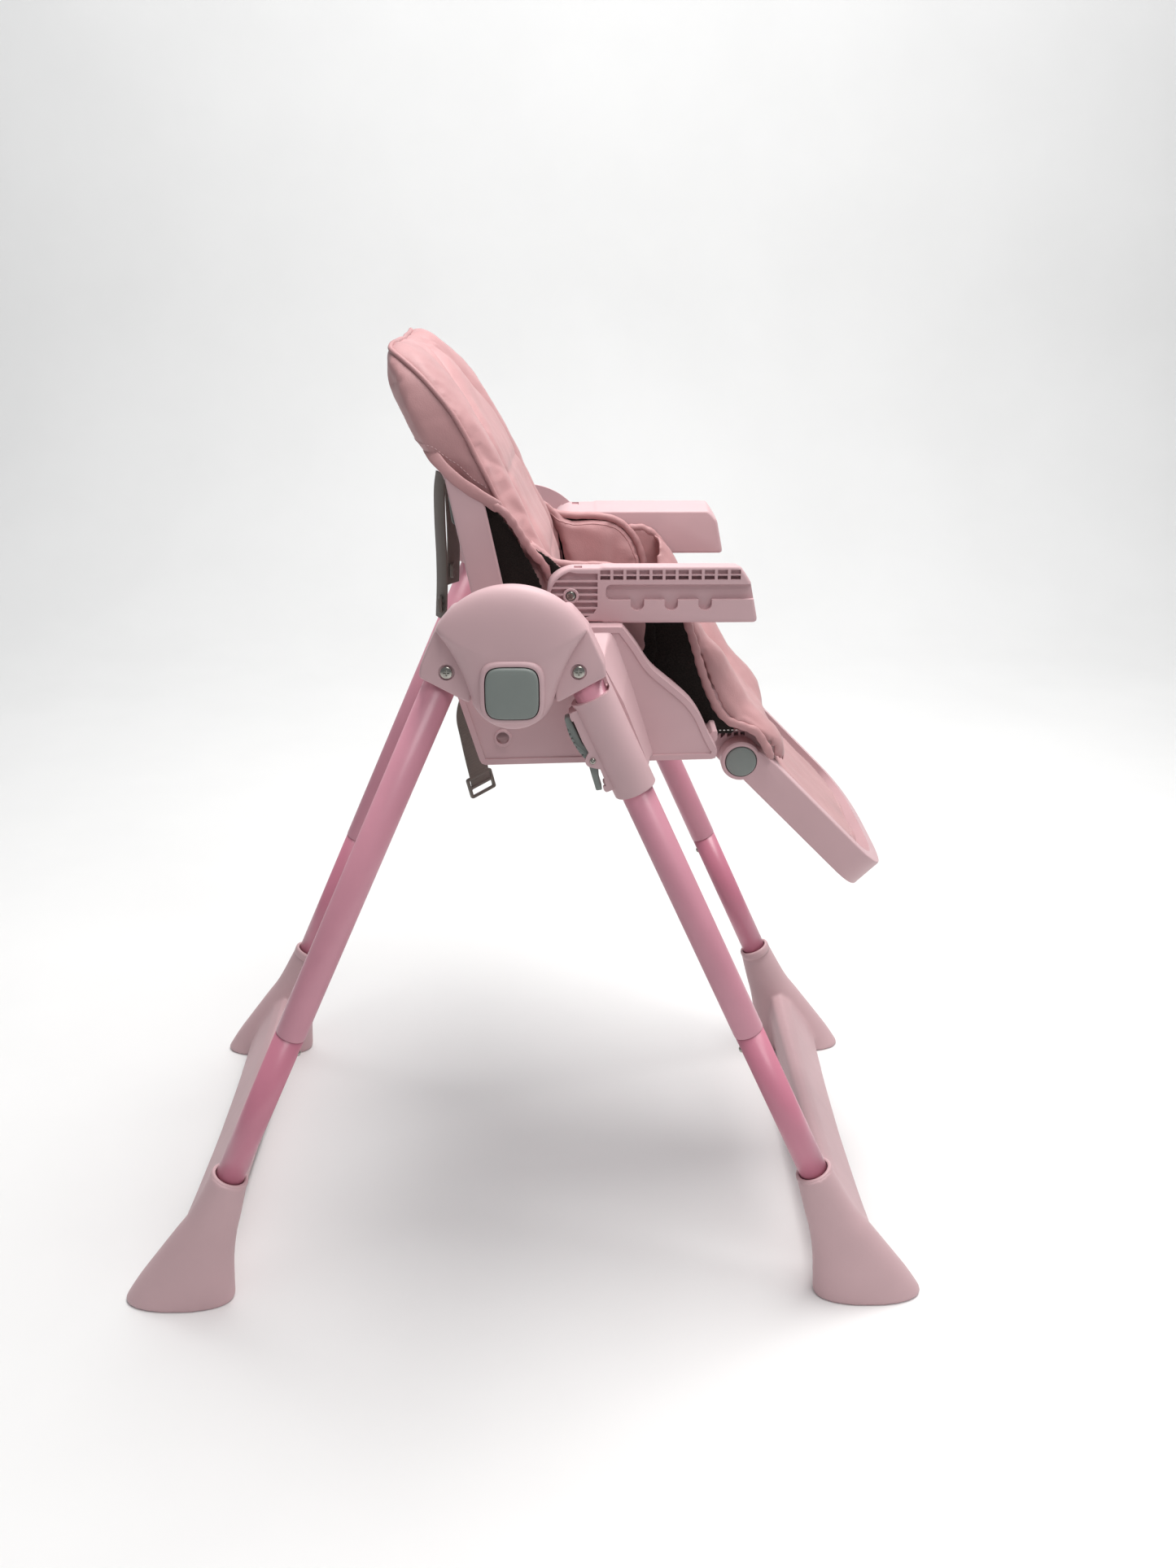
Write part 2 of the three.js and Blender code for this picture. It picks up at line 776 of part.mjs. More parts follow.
function reclineHandle() {
  const grip = [
    [-68, 800],
    [-76, 796],
    [-74, 768],
    [-64, 762],
    [-52, 766],
    [-58.5, 800],
  ];
  return plate(grip, -36, 36);
}

// ---- Footrest ----
// The outline seen from above, inset from the outside: straight sides and a rounded toe.
function footrestOutline(from, inset) {
  const half = RAIL_Y[1] - inset;
  const toe = Array.from({ length: 17 }, (_, i) => {
    const angle = (i / 16 - 0.5) * Math.PI;
    const across = Math.sign(Math.sin(angle)) * Math.abs(Math.sin(angle)) ** 0.62;
    return [150 + (TOE_END - 150 - inset) * Math.cos(angle) ** 0.8, half * across];
  });
  return [[from, -half], ...toe, [from, half]];
}

const onFootrest = (geometry) => geometry.rotateY(FOOTREST.tilt).translate(FOOTREST.x, 0, FOOTREST.z);

function footrestFrame() {
  const [low, high] = RAIL_N;
  const knuckleR = 20;
  const block = slab(footrestOutline(4, 0), low, high);
  const corner = plate([[-10, 40], [-10, knuckleR], [6, knuckleR + 0.5], [26, high], [26, 40]], -200, 200);
  const knuckles = [rodY(knuckleR, ...RAIL_Y, 0, 0), rodY(knuckleR, -RAIL_Y[1], -RAIL_Y[0], 0, 0)];
  const pocket = slab(footrestOutline(HINGE_CLEAR - 4, 14), 3, 60);
  const below = slab(footrestOutline(HINGE_CLEAR + 4, 9), -60, 0);
  const open = box(-60, HINGE_CLEAR, -RAIL_Y[0], RAIL_Y[0], -60, 60);
  const buttons = [rodY(15.9, 119, 140, 0, 0, FINE), rodY(15.9, -140, -119, 0, 0, FINE)];
  const pins = rodY(6.4, -125, 125, 0, 0);
  const body = cut(block, corner);
  return onFootrest(cut(join(body, ...knuckles), pocket, below, open, pins, ...buttons));
}

function footrestCushion() {
  return onFootrest(slab(footrestOutline(HINGE_CLEAR + 3, 15.5), 3.4, 19));
}

// ---- The chair ----
onBothSides("front_lower_tube", lowerTube(), lowerPaint);
onBothSides("front_upper_tube", upperTube(LOCK_COUNT), upperPaint);
onBothSides("front_bracket", bracket(FRONT_LAYER, [200, LEG.y]), pinkPlastic);
onBothSides("hub_cover", hubCover(), pinkPlastic);
onBothSides("axle_pin", axlePin(), steel);
onBothSides("front_screw", hubScrew(), steel);
place(chair, "front_base", base(), pinkPlastic);

onBothSides("rear_lower_tube", toRear(lowerTube()), lowerPaint);
onBothSides("rear_upper_tube", toRear(upperTube(0)), upperPaint);
onBothSides("rear_bracket", toRear(bracket(REAR_LAYER, [LEG.y - 0.1, 300])), pinkPlastic);
onBothSides("rear_screw", toRear(hubScrew()), steel);
place(chair, "rear_base", toRear(base()), pinkPlastic);

const buttonShape = plate(roundedRect(HUB.x, HUB.z, BUTTON_HALF, 7), COVER.rim + 9, COVER.top + 5.5);
onBothSides("hub_button", buttonShape, greyPlastic);

onBothSides("side_panel", sidePanel(), pinkPlastic);
onBothSides("height_sleeve", sleeve(), pinkPlastic);
onBothSides("height_lever", heightLever(), greyPlastic);
onBothSides("lock_pin", lockPin(), steel);
onBothSides("armrest", armrest(), pinkPlastic);
onBothSides("armrest_screw", armrestScrew(), steel);
onBothSides("footrest_bracket", footrestBracket(), pinkPlastic);
onBothSides("seat_wing", wing(), coverSkin);
onBothSides("lap_strap", lapStrap(), webbing);
place(chair, "seat_pan", seatPan(), pinkPlastic);
place(chair, "seat_cushion", seatCushion(), coverSkin);
place(chair, "leg_pad", legPad(), coverSkin);
place(chair, "harness_buckle", harnessBuckle(), greyPlastic);
place(chair, "buckle_button", buckleButton(), greyPlastic);
place(chair, "crotch_strap", strap([[122.6, 620], [132, 617], [150, 614.6], [158, 614]], 0), webbing);
place(chair, "tail_strap", strap(TAIL_ROUTE, -STRAP_Y), webbing);
place(chair, "tail_buckle", tailBuckle(), webbing);

place(chair, "back_shell", backShell(), pinkPlastic);
place(chair, "hinge_rod", hingeRod(), steel);
place(chair, "back_cushion", backCushion(), coverSkin);
place(chair, "recline_handle", reclineHandle(), greyPlastic);
onBothSides("shoulder_strap", shoulderStrap(), webbing);

place(chair, "footrest_frame", footrestFrame(), pinkPlastic);
place(chair, "footrest_cushion", footrestCushion(), coverSkin);
onBothSides("footrest_button", rodY(15.3, 125, 132, FOOTREST.x, FOOTREST.z, FINE), greyPlastic);

export default chair;
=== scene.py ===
import json
import math

import bmesh
import bpy
import numpy as np
from mathutils import Matrix, Vector, noise
from mathutils.bvhtree import BVHTree


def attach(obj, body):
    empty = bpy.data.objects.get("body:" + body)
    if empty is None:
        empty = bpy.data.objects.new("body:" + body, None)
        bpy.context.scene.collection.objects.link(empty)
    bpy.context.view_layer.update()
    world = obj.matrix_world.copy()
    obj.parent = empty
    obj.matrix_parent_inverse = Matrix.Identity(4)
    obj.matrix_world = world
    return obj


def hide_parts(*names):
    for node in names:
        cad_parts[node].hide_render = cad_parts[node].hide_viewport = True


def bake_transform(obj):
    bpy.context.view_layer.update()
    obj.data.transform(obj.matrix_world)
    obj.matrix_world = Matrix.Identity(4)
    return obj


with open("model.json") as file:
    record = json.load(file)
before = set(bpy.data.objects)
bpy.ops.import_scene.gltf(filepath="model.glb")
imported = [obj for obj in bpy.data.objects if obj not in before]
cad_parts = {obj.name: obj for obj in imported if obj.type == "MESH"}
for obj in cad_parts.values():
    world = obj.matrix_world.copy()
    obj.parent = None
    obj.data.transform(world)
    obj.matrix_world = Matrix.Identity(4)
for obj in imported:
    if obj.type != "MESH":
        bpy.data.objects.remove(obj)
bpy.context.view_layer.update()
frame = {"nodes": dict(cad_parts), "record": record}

# All sizes below are millimetres in the frame's axes (+X front, +Y the child's left, +Z up).
MM = 0.001
LEAN = math.radians(24.07)
LEG_AT = (295.5, 250.0, 147.5)  # the middle of the front left socket's rim
HUB_Z = 667.0
FAN_R, FAN_Z, ROUND_R = 74.5, 684, 38  # the hub cover's fan, its middle, and the round below it
DOME_Y = 272.2  # where the hub cover starts to dome
BUTTON_HALF = 23
FRONT_LAYER = (250.2, 262)  # depths of the two hub brackets' discs, which turn past each other
REAR_LAYER = (237, 249.8)
LOWER_R = 14.5
SOCKET_R = 15.4
JOINT_S = 177.0  # distances up a leg from its socket's rim
TUBE_TOP_S = 598.0
SCREW_S = 582.7
LOCK_S, LOCK_PITCH, LOCK_COUNT = 530, 40, 7
LEVER_PIVOT = (-23.4, 499.3)  # across the leg, and along it
PEG = (-13.2, 594.2)
HINGE = (220.9, 545.9)  # the footrest's axis, X and Z
RECLINE = (10, 606)  # the backrest's axis, X and Z
FOOTREST_TILT = math.radians(45.6)
ARM_Y = (140.0, 180.0)
ARM_SCREW = (51.6, 726.6)
ARM_DROP = 5.5  # the armrest's top slopes down towards the child
WING_Y = (127.0, 139.3)
SHELL_HALF = 150.0
STRAP_WIDTH, STRAP_THICKNESS = 25.0, 1.9
SHOULDER_Y = 80
BACK_BEND = ("backrest", "seat", (0.004, 0, 0.752), (0.03, 0, 0.70))
KNEE_BEND = ("seat", "footrest", (0.232, 0, 0.575), (0.270, 0, 0.532))


# ---------------------------------------------------------------- mesh helpers
def new_object(name, verts, faces, matrix=None):
    """A smooth-shaded object from points in millimetres."""
    mesh = bpy.data.meshes.new(name)
    points = np.array(verts, float)
    if matrix is not None:
        m = np.array(matrix)
        points = points @ m[:3, :3].T + m[:3, 3]
    mesh.from_pydata((points * MM).tolist(), [], faces)
    obj = bpy.data.objects.new(name, mesh)
    bpy.context.scene.collection.objects.link(obj)
    face_out(obj)
    return obj


def face_out(obj):
    bm = bmesh.new()
    bm.from_mesh(obj.data)
    bmesh.ops.recalc_face_normals(bm, faces=bm.faces)
    bm.to_mesh(obj.data)
    bm.free()
    obj.data.polygons.foreach_set("use_smooth", [True] * len(obj.data.polygons))


def settle(obj):
    """Applies every modifier."""
    bpy.context.view_layer.update()
    graph = bpy.context.evaluated_depsgraph_get()
    mesh = bpy.data.meshes.new_from_object(obj.evaluated_get(graph))
    obj.modifiers.clear()
    old = obj.data
    obj.data = mesh
    bpy.data.meshes.remove(old)
    mesh.polygons.foreach_set("use_smooth", [True] * len(mesh.polygons))
    return obj


def combine(obj, *tools, how="DIFFERENCE"):
    for tool in tools:
        mod = obj.modifiers.new("cut", "BOOLEAN")
        mod.operation = how
        mod.solver = "EXACT"
        mod.object = tool
        settle(obj)
        bpy.data.objects.remove(tool)
    return obj


def voxelled(obj, size, smoothing=0):
    """Remeshes an object in even cells, and smooths it a number of times."""
    remesh = obj.modifiers.new("remesh", "REMESH")
    remesh.mode = "VOXEL"
    remesh.voxel_size = size * MM
    if smoothing:
        obj.modifiers.new("smooth", "SMOOTH").iterations = smoothing
    return settle(obj)


def bevel(obj, width, segments=3, angle=32, now=False, rounds=False):
    mod = obj.modifiers.new("edges", "BEVEL")
    mod.width = width * MM
    mod.segments = segments
    mod.limit_method = "ANGLE"
    mod.angle_limit = math.radians(angle)
    mod.use_clamp_overlap = True
    mod.harden_normals = not rounds and not now
    if now:
        return settle(obj)
    if rounds:
        obj.modifiers.new("shade", "WEIGHTED_NORMAL").weight = 100
    return obj


def flipped(obj, x=1, y=1):
    """Turns an object into its mirror image across X or Y."""
    obj.data.transform(Matrix.Diagonal((x, y, 1, 1)))
    obj.data.flip_normals()
    return obj


def mirrored(obj, name):
    """A copy on the other side of the chair, with its modifiers."""
    copy = obj.copy()
    copy.data = obj.data.copy()
    copy.name = name
    bpy.context.scene.collection.objects.link(copy)
    return flipped(copy, y=-1)


def closed_loft(rings):
    """Points and faces of a skin over closed rings, with both ends capped."""
    count = len(rings[0])
    verts = [p for ring in rings for p in ring]
    faces = []
    for k in range(len(rings) - 1):
        for i in range(count):
            a, b = k * count + i, k * count + (i + 1) % count
            faces.append((a, b, b + count, a + count))
    faces.append(tuple(reversed(range(count))))
    faces.append(tuple(range((len(rings) - 1) * count, len(rings) * count)))
    return verts, faces


def prism(name, outline, low, high, axis="Y", matrix=None):
    """An outline given a thickness: in X and Z along Y, or in X and Y along Z."""
    put = (lambda p, h: (p[0], h, p[1])) if axis == "Y" else (lambda p, h: (p[0], p[1], h))
    rings = [[put(p, low) for p in outline], [put(p, high) for p in outline]]
    return new_object(name, *closed_loft(rings), matrix)


def block(name, x, y, z, matrix=None):
    outline = [(x[0], z[0]), (x[1], z[0]), (x[1], z[1]), (x[0], z[1])]
    return prism(name, outline, y[0], y[1], matrix=matrix)


def lathe(name, profile, sides=64, matrix=None):
    """A closed profile of (radius, z) turned about Z. A radius of zero closes on the axis."""
    verts, faces, rows = [], [], []
    for r, z in profile:
        if r < 1e-6:
            rows.append([len(verts)])
            verts.append((0, 0, z))
            continue
        rows.append(list(range(len(verts), len(verts) + sides)))
        for i in range(sides):
            turn = 2 * math.pi * i / sides
            verts.append((r * math.cos(turn), r * math.sin(turn), z))
    closed = len(rows[0]) > 1
    pairs = list(zip(rows, rows[1:])) + ([(rows[-1], rows[0])] if closed else [])
    for low, high in pairs:
        for i in range(sides):
            j = (i + 1) % sides
            if len(low) == 1:
                faces.append((low[0], high[j], high[i]))
            elif len(high) == 1:
                faces.append((low[i], low[j], high[0]))
            else:
                faces.append((low[i], low[j], high[j], high[i]))
    return new_object(name, verts, faces, matrix)


def along_y(x, z):
    """Turns a lathe's Z into Y, the way out of the chair on the left."""
    return Matrix.Translation((x, 0, z)) @ Matrix.Rotation(-math.pi / 2, 4, "X")


def rod_y(name, r, y0, y1, x, z, sides=40, edge=0.0):
    e = min(edge, r * 0.5, (y1 - y0) * 0.4)
    profile = [(0, y0), (r - e, y0), (r, y0 + e), (r, y1 - e), (r - e, y1), (0, y1)]
    if not e:
        profile = [(0, y0), (r, y0), (r, y1), (0, y1)]
    return lathe(name, profile, sides, along_y(x, z))


def rounded(points, radius, steps=5):
    """A closed outline with its corners rounded. The radius is one number, or one for each corner."""
    count = len(points)
    radii = radius if hasattr(radius, "__len__") else [radius] * count
    out = []
    for i, r in enumerate(radii):
        p = Vector(points[i])
        a, b = Vector(points[i - 1]) - p, Vector(points[(i + 1) % count]) - p
        half = 0.5 * a.angle(b)
        reach = min(r / max(math.tan(half), 1e-3), 0.48 * a.length, 0.48 * b.length)
        start, end = p + a.normalized() * reach, p + b.normalized() * reach
        for k in range(steps + 1):
            t = k / steps
            out.append(tuple(start * (1 - t) ** 2 + p * 2 * t * (1 - t) + end * t * t))
    return out


def curve_through(points, count, closed=False):
    """A Catmull-Rom run of points through the given ones, evenly spaced."""
    pts = np.array(points, float)
    if closed:
        pts = np.vstack([pts[-1], pts, pts[0], pts[1]])
    else:
        pts = np.vstack([2 * pts[0] - pts[1], pts, 2 * pts[-1] - pts[-2]])
    dense = []
    for i in range(1, len(pts) - 2):
        p0, p1, p2, p3 = pts[i - 1 : i + 3]
        square = 2 * p0 - 5 * p1 + 4 * p2 - p3
        cube = 3 * p1 - p0 - 3 * p2 + p3
        for t in np.arange(0, 1, 0.05):
            dense.append(0.5 * (2 * p1 + (p2 - p0) * t + square * t**2 + cube * t**3))
    dense.append(pts[-2])
    return even(np.array(dense), count)


def even(points, count):
    """The same path with that many points, evenly spaced."""
    pts = np.array(points, float)
    steps = np.linalg.norm(np.diff(pts, axis=0), axis=1)
    far = np.concatenate([[0], np.cumsum(steps)])
    where = np.linspace(0, far[-1], count)
    return np.stack([np.interp(where, far, pts[:, k]) for k in range(pts.shape[1])], axis=1)


def frames_along(path, hint):
    """Tangent, side and up vectors along a path, with side kept square to the hint."""
    pts = np.array(path, float)
    tangent = np.gradient(pts, axis=0)
    tangent /= np.linalg.norm(tangent, axis=1)[:, None] + 1e-12
    up = np.array(hint, float) - tangent * (tangent @ np.array(hint, float))[:, None]
    up /= np.linalg.norm(up, axis=1)[:, None] + 1e-12
    return tangent, np.cross(tangent, up), up


def tube_along(name, path, radius, sides=10, hint=(0, 1, 0.01)):
    """A round cord, such as piping, with narrower ends."""
    pts = np.array(path, float)
    side, up = frames_along(pts, hint)[1:]
    turn = [2 * math.pi * k / sides for k in range(sides)]
    rings = []
    for i, p in enumerate(pts):
        r = radius * (0.55 if i in (0, len(pts) - 1) else 1)
        rings.append([p + r * (math.cos(a) * side[i] + math.sin(a) * up[i]) for a in turn])
    return new_object(name, *closed_loft(rings))


def ribbon(name, path, width, thickness, hint=(0, 1, 0)):
    """A flat strap along a path, with its width along the hint and its UVs in metres."""
    pts = even(path, max(12, int(len(path) * 3)))
    side, across = frames_along(pts, hint)[1:]
    half, t = width / 2, thickness / 2
    section = [(-half, -t * 0.5), (-half * 0.97, -t), (0, -t), (half * 0.97, -t), (half, -t * 0.5)]
    section += [(-a, -b) for a, b in section]
    rings = [[p + a * across[i] + b * side[i] for a, b in section] for i, p in enumerate(pts)]
    obj = new_object(name, *closed_loft(rings))
    layer = obj.data.uv_layers.new(name="weave")
    far = np.concatenate([[0], np.cumsum(np.linalg.norm(np.diff(pts, axis=0), axis=1))])
    count = len(section)
    for loop in obj.data.loops:
        v = loop.vertex_index
        layer.data[loop.index].uv = (section[v % count][0] * MM, far[v // count] * MM)
    return obj


def join(name, objects):
    """One object from several."""
    verts, faces, start = [], [], 0
    for o in objects:
        mesh = o.data
        verts += [tuple(v.co / MM) for v in mesh.vertices]
        faces += [tuple(start + i for i in p.vertices) for p in mesh.polygons]
        start = len(verts)
        bpy.data.objects.remove(o)
    return new_object(name, verts, faces)


def surface(obj):
    """A search tree over an object's surface, in metres."""
    bpy.context.view_layer.update()
    graph = bpy.context.evaluated_depsgraph_get()
    return BVHTree.FromObject(obj, graph)


def snapped(path, obj, lift):
    """A path in millimetres, moved on to an object's surface and lifted off it."""
    tree = surface(obj)
    out = []
    for p in path:
        spot, normal = tree.find_nearest(Vector(p) * MM)[:2]
        out.append(np.array(spot) / MM + np.array(normal) * lift)
    return np.array(out)


def stitches(name, path, pitch=4.2, length=2.8, radius=0.42, hint=(0, 1, 0.01)):
    """A row of thread stitches along a path."""
    pts = np.array(path, float)
    total = np.linalg.norm(np.diff(pts, axis=0), axis=1).sum()
    count = max(2, int(total / pitch))
    spots = even(pts, count * 4 + 1)
    tangent, side, up = frames_along(spots, hint)
    verts, faces = [], []
    for k in range(count):
        i = k * 4 + 2
        start = len(verts)
        for end, shrink in ((-0.5, 0.4), (-0.25, 1), (0.25, 1), (0.5, 0.4)):
            middle = spots[i] + tangent[i] * length * end
            for a in range(6):
                turn = a * math.pi / 3
                reach = radius * shrink
                verts.append(middle + reach * (math.cos(turn) * side[i] + math.sin(turn) * up[i]))
        for ring in range(3):
            for a in range(6):
                b = (a + 1) % 6
                low = start + ring * 6
                faces.append((low + a, low + b, low + 6 + b, low + 6 + a))
        faces.append(tuple(start + a for a in reversed(range(6))))
        faces.append(tuple(start + 18 + a for a in range(6)))
    return new_object(name, verts, faces)


# ---------------------------------------------------------------- materials
def node_material(name):
    mat = bpy.data.materials.new(name)
    mat.use_nodes = True
    return mat, mat.node_tree, mat.node_tree.nodes["Principled BSDF"]


def add(tree, kind, **values):
    node = tree.nodes.new(kind)
    for key, value in values.items():
        if key in node.inputs:
            node.inputs[key].default_value = value
        else:
            setattr(node, key, value)
    return node


def object_coords(tree):
    return add(tree, "ShaderNodeTexCoord").outputs["Object"]


def noise_node(tree, coords, scale, detail=3.0, rough=0.55):
    node = add(tree, "ShaderNodeTexNoise", Scale=scale, Detail=detail, Roughness=rough)
    tree.links.new(coords, node.inputs["Vector"])
    return node.outputs["Fac"]


def ramp(tree, value, low, high, at=(0.3, 0.7)):
    node = add(tree, "ShaderNodeValToRGB")
    stops = node.color_ramp.elements
    stops[0].position, stops[1].position = at
    stops[0].color, stops[1].color = low, high
    tree.links.new(value, node.inputs["Fac"])
    return node.outputs["Color"]


def tinted(tree, shader, pattern, color, low, high):
    """The base colour runs between a darker and a lighter shade over a pattern."""
    tint = ramp(tree, pattern, shade(color, low), shade(color, high))
    tree.links.new(tint, shader.inputs["Base Color"])


def span(tree, value, low, high):
    node = add(tree, "ShaderNodeMapRange")
    node.inputs["To Min"].default_value = low
    node.inputs["To Max"].default_value = high
    tree.links.new(value, node.inputs["Value"])
    return node.outputs["Result"]


def bump(tree, shader, height, distance, strength=1.0, under=None):
    node = add(tree, "ShaderNodeBump", Distance=distance, Strength=strength)
    tree.links.new(height, node.inputs["Height"])
    if under is not None:
        tree.links.new(under, node.inputs["Normal"])
    tree.links.new(node.outputs["Normal"], shader.inputs["Normal"])
    return node.outputs["Normal"]


def shade(color, factor):
    return tuple(min(1.0, c * factor) for c in color[:3]) + (1.0,)


def moulded(name, color, rough=(0.42, 0.54), grain=1600, depth=0.00006):
    """Moulded plastic: a fine spark-eroded texture, faint flow marks and uneven gloss."""
    mat, tree, shader = node_material(name)
    coords = object_coords(tree)
    tinted(tree, shader, noise_node(tree, coords, 9, 4), color, 0.95, 1.05)
    tree.links.new(span(tree, noise_node(tree, coords, 45, 3), *rough), shader.inputs["Roughness"])
    wave = bump(tree, shader, noise_node(tree, coords, 22, 2), 0.0006, 0.35)
    bump(tree, shader, noise_node(tree, coords, grain, 2), depth, 0.7, under=wave)
    shader.inputs["Specular IOR Level"].default_value = 0.45
    return mat


def painted(name, color):
    """Powder-coated tube: slight orange peel under an even gloss."""
    mat, tree, shader = node_material(name)
    coords = object_coords(tree)
    tinted(tree, shader, noise_node(tree, coords, 14, 5), color, 0.95, 1.05)
    tree.links.new(span(tree, noise_node(tree, coords, 60, 3), 0.28, 0.42), shader.inputs["Roughness"])
    bump(tree, shader, noise_node(tree, coords, 420, 2), 0.00018, 0.5)
    shader.inputs["Coat Weight"].default_value = 0.25
    shader.inputs["Coat Roughness"].default_value = 0.25
    return mat


def imitation_leather(name, color):
    """Soft coated fabric: a pebbled grain, fine creases and uneven wear."""
    mat, tree, shader = node_material(name)
    coords = object_coords(tree)
    tinted(tree, shader, noise_node(tree, coords, 16, 5), color, 0.9, 1.07)
    tree.links.new(span(tree, noise_node(tree, coords, 120, 4), 0.46, 0.62), shader.inputs["Roughness"])
    crease = bump(tree, shader, noise_node(tree, coords, 48, 5, 0.6), 0.0012, 0.35)
    cells = add(tree, "ShaderNodeTexVoronoi", Scale=950.0, feature="SMOOTH_F1")
    tree.links.new(coords, cells.inputs["Vector"])
    pebble = bump(tree, shader, cells.outputs["Distance"], 0.00022, 0.6, under=crease)
    bump(tree, shader, noise_node(tree, coords, 2600, 2), 0.00006, 0.5, under=pebble)
    shader.inputs["Sheen Weight"].default_value = 0.12
    shader.inputs["Sheen Roughness"].default_value = 0.5
    return mat


def felt(name, color):
    """Black non-woven lining: a dull fibrous sheet with a point-bonded pattern."""
    mat, tree, shader = node_material(name)
    coords = object_coords(tree)
    tinted(tree, shader, noise_node(tree, coords, 900, 4), color, 0.6, 1.9)
    shader.inputs["Roughness"].default_value = 0.92
    shader.inputs["Specular IOR Level"].default_value = 0.2
    dots = add(tree, "ShaderNodeTexVoronoi", Scale=520.0)
    tree.links.new(coords, dots.inputs["Vector"])
    rough = bump(tree, shader, dots.outputs["Distance"], 0.0003, 0.5)
    bump(tree, shader, noise_node(tree, coords, 60, 4), 0.002, 0.4, under=rough)
    return mat


def woven(name, color):
    """Webbing: ribs across, a herringbone along, read from the strap's own UVs."""
    mat, tree, shader = node_material(name)
    uv = add(tree, "ShaderNodeUVMap", uv_map="weave").outputs["UV"]
    split = add(tree, "ShaderNodeSeparateXYZ")
    tree.links.new(uv, split.inputs["Vector"])

    def wave(source, frequency):
        scaled = add(tree, "ShaderNodeMath", operation="MULTIPLY")
        scaled.inputs[1].default_value = frequency
        tree.links.new(source, scaled.inputs[0])
        sine = add(tree, "ShaderNodeMath", operation="SINE")
        tree.links.new(scaled.outputs[0], sine.inputs[0])
        return sine.outputs[0]

    across = wave(split.outputs["X"], 2 * math.pi / 0.0022)
    along = wave(split.outputs["Y"], 2 * math.pi / 0.0013)
    product = add(tree, "ShaderNodeMath", operation="MULTIPLY")
    tree.links.new(across, product.inputs[0])
    tree.links.new(along, product.inputs[1])
    height = span(tree, product.outputs[0], 0.0, 1.0)
    # Painted shade and highlight: the weave's valleys get a darker colour and its ridges a lighter one,
    # following the bump's height.
    tint = ramp(tree, height, shade(color, 0.72), shade(color, 1.15), at=(0.1, 0.9))
    tree.links.new(tint, shader.inputs["Base Color"])
    shader.inputs["Roughness"].default_value = 0.85
    shader.inputs["Sheen Weight"].default_value = 0.2
    bump(tree, shader, height, 0.0004, 0.8)
    return mat


def metal(name, color, rough):
    """Zinc-plated steel with a fine turned finish."""
    mat, tree, shader = node_material(name)
    coords = object_coords(tree)
    shader.inputs["Metallic"].default_value = 1.0
    tinted(tree, shader, noise_node(tree, coords, 300, 3), color, 0.85, 1.1)
    tree.links.new(span(tree, noise_node(tree, coords, 700, 2), *rough), shader.inputs["Roughness"])
    bump(tree, shader, noise_node(tree, coords, 1500, 2), 0.00003, 0.5)
    return mat


MATERIALS = {
    "pink_plastic": moulded("pink_plastic", (0.60, 0.40, 0.42)),
    "upper_paint": painted("upper_paint", (0.60, 0.265, 0.335)),
    "lower_paint": painted("lower_paint", (0.58, 0.205, 0.285)),
    "grey_plastic": moulded("grey_plastic", (0.215, 0.24, 0.225), (0.4, 0.5)),
    "cover": imitation_leather("cover", (0.50, 0.265, 0.27)),
    "piping": imitation_leather("piping", (0.47, 0.24, 0.245)),
    "thread": moulded("thread", (0.62, 0.40, 0.41), (0.7, 0.8), 2500, 0.0001),
    "white_thread": moulded("white_thread", (0.75, 0.72, 0.68), (0.7, 0.8), 2500, 0.0001),
    "lining": felt("lining", (0.012, 0.009, 0.008)),
    "webbing": woven("webbing", (0.22, 0.185, 0.16)),
    "buckle_plastic": moulded("buckle_plastic", (0.17, 0.15, 0.13), (0.35, 0.5)),
    "steel": metal("steel", (0.40, 0.385, 0.35), (0.14, 0.26)),
    # dark: its colour also gives the harness slots' openings their painted shade.
    "dark": moulded("dark", (0.03, 0.026, 0.025), (0.6, 0.8)),
}


def dress(obj, finish, body, *nodes):
    """Gives a piece its material and its body, and hides the CAD nodes that it stands for. A bend between
    two bodies is not set up: such a piece only has its transform baked.
    """
    obj.data.materials.clear()
    obj.data.materials.append(MATERIALS[finish])
    if isinstance(body, str):
        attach(obj, body)
    else:
        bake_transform(obj)
    if nodes:
        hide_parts(*nodes)
    return obj


def on_both_sides(left, finish, body, node=None, bodies=None):
    """Dresses a left-hand piece and its mirror image."""
    stem = left.name.removesuffix("_left")
    right = mirrored(left, stem + "_right")
    for side, obj in (("left", left), ("right", right)):
        rides = f"{body}_{side}" if bodies else body
        dress(obj, finish, rides, *([f"{node}_{side}"] if node else []))
    return left, right


# ---------------------------------------------------------------- camera, light, floor
def camera():
    data = bpy.data.cameras.new("camera")
    data.sensor_width = 36.0
    data.lens = 33.63
    data.clip_start = 0.05
    obj = bpy.data.objects.new("camera", data)
    obj.location = (0.047, -1.505, 1.036)
    obj.rotation_euler = Vector((0.0144, 0.9368, -0.3495)).to_track_quat("-Z", "Y").to_euler()
    bpy.context.scene.collection.objects.link(obj)
    bpy.context.scene.camera = obj


def light(name, spot, target, size, power, color=(1, 1, 1)):
    data = bpy.data.lights.new(name, "AREA")
    data.shape = "RECTANGLE"
    data.size, data.size_y = size
    data.energy = power
    data.color = color
    obj = bpy.data.objects.new(name, data)
    obj.location = spot
    obj.rotation_euler = (Vector(target) - Vector(spot)).to_track_quat("-Z", "Y").to_euler()
    bpy.context.scene.collection.objects.link(obj)


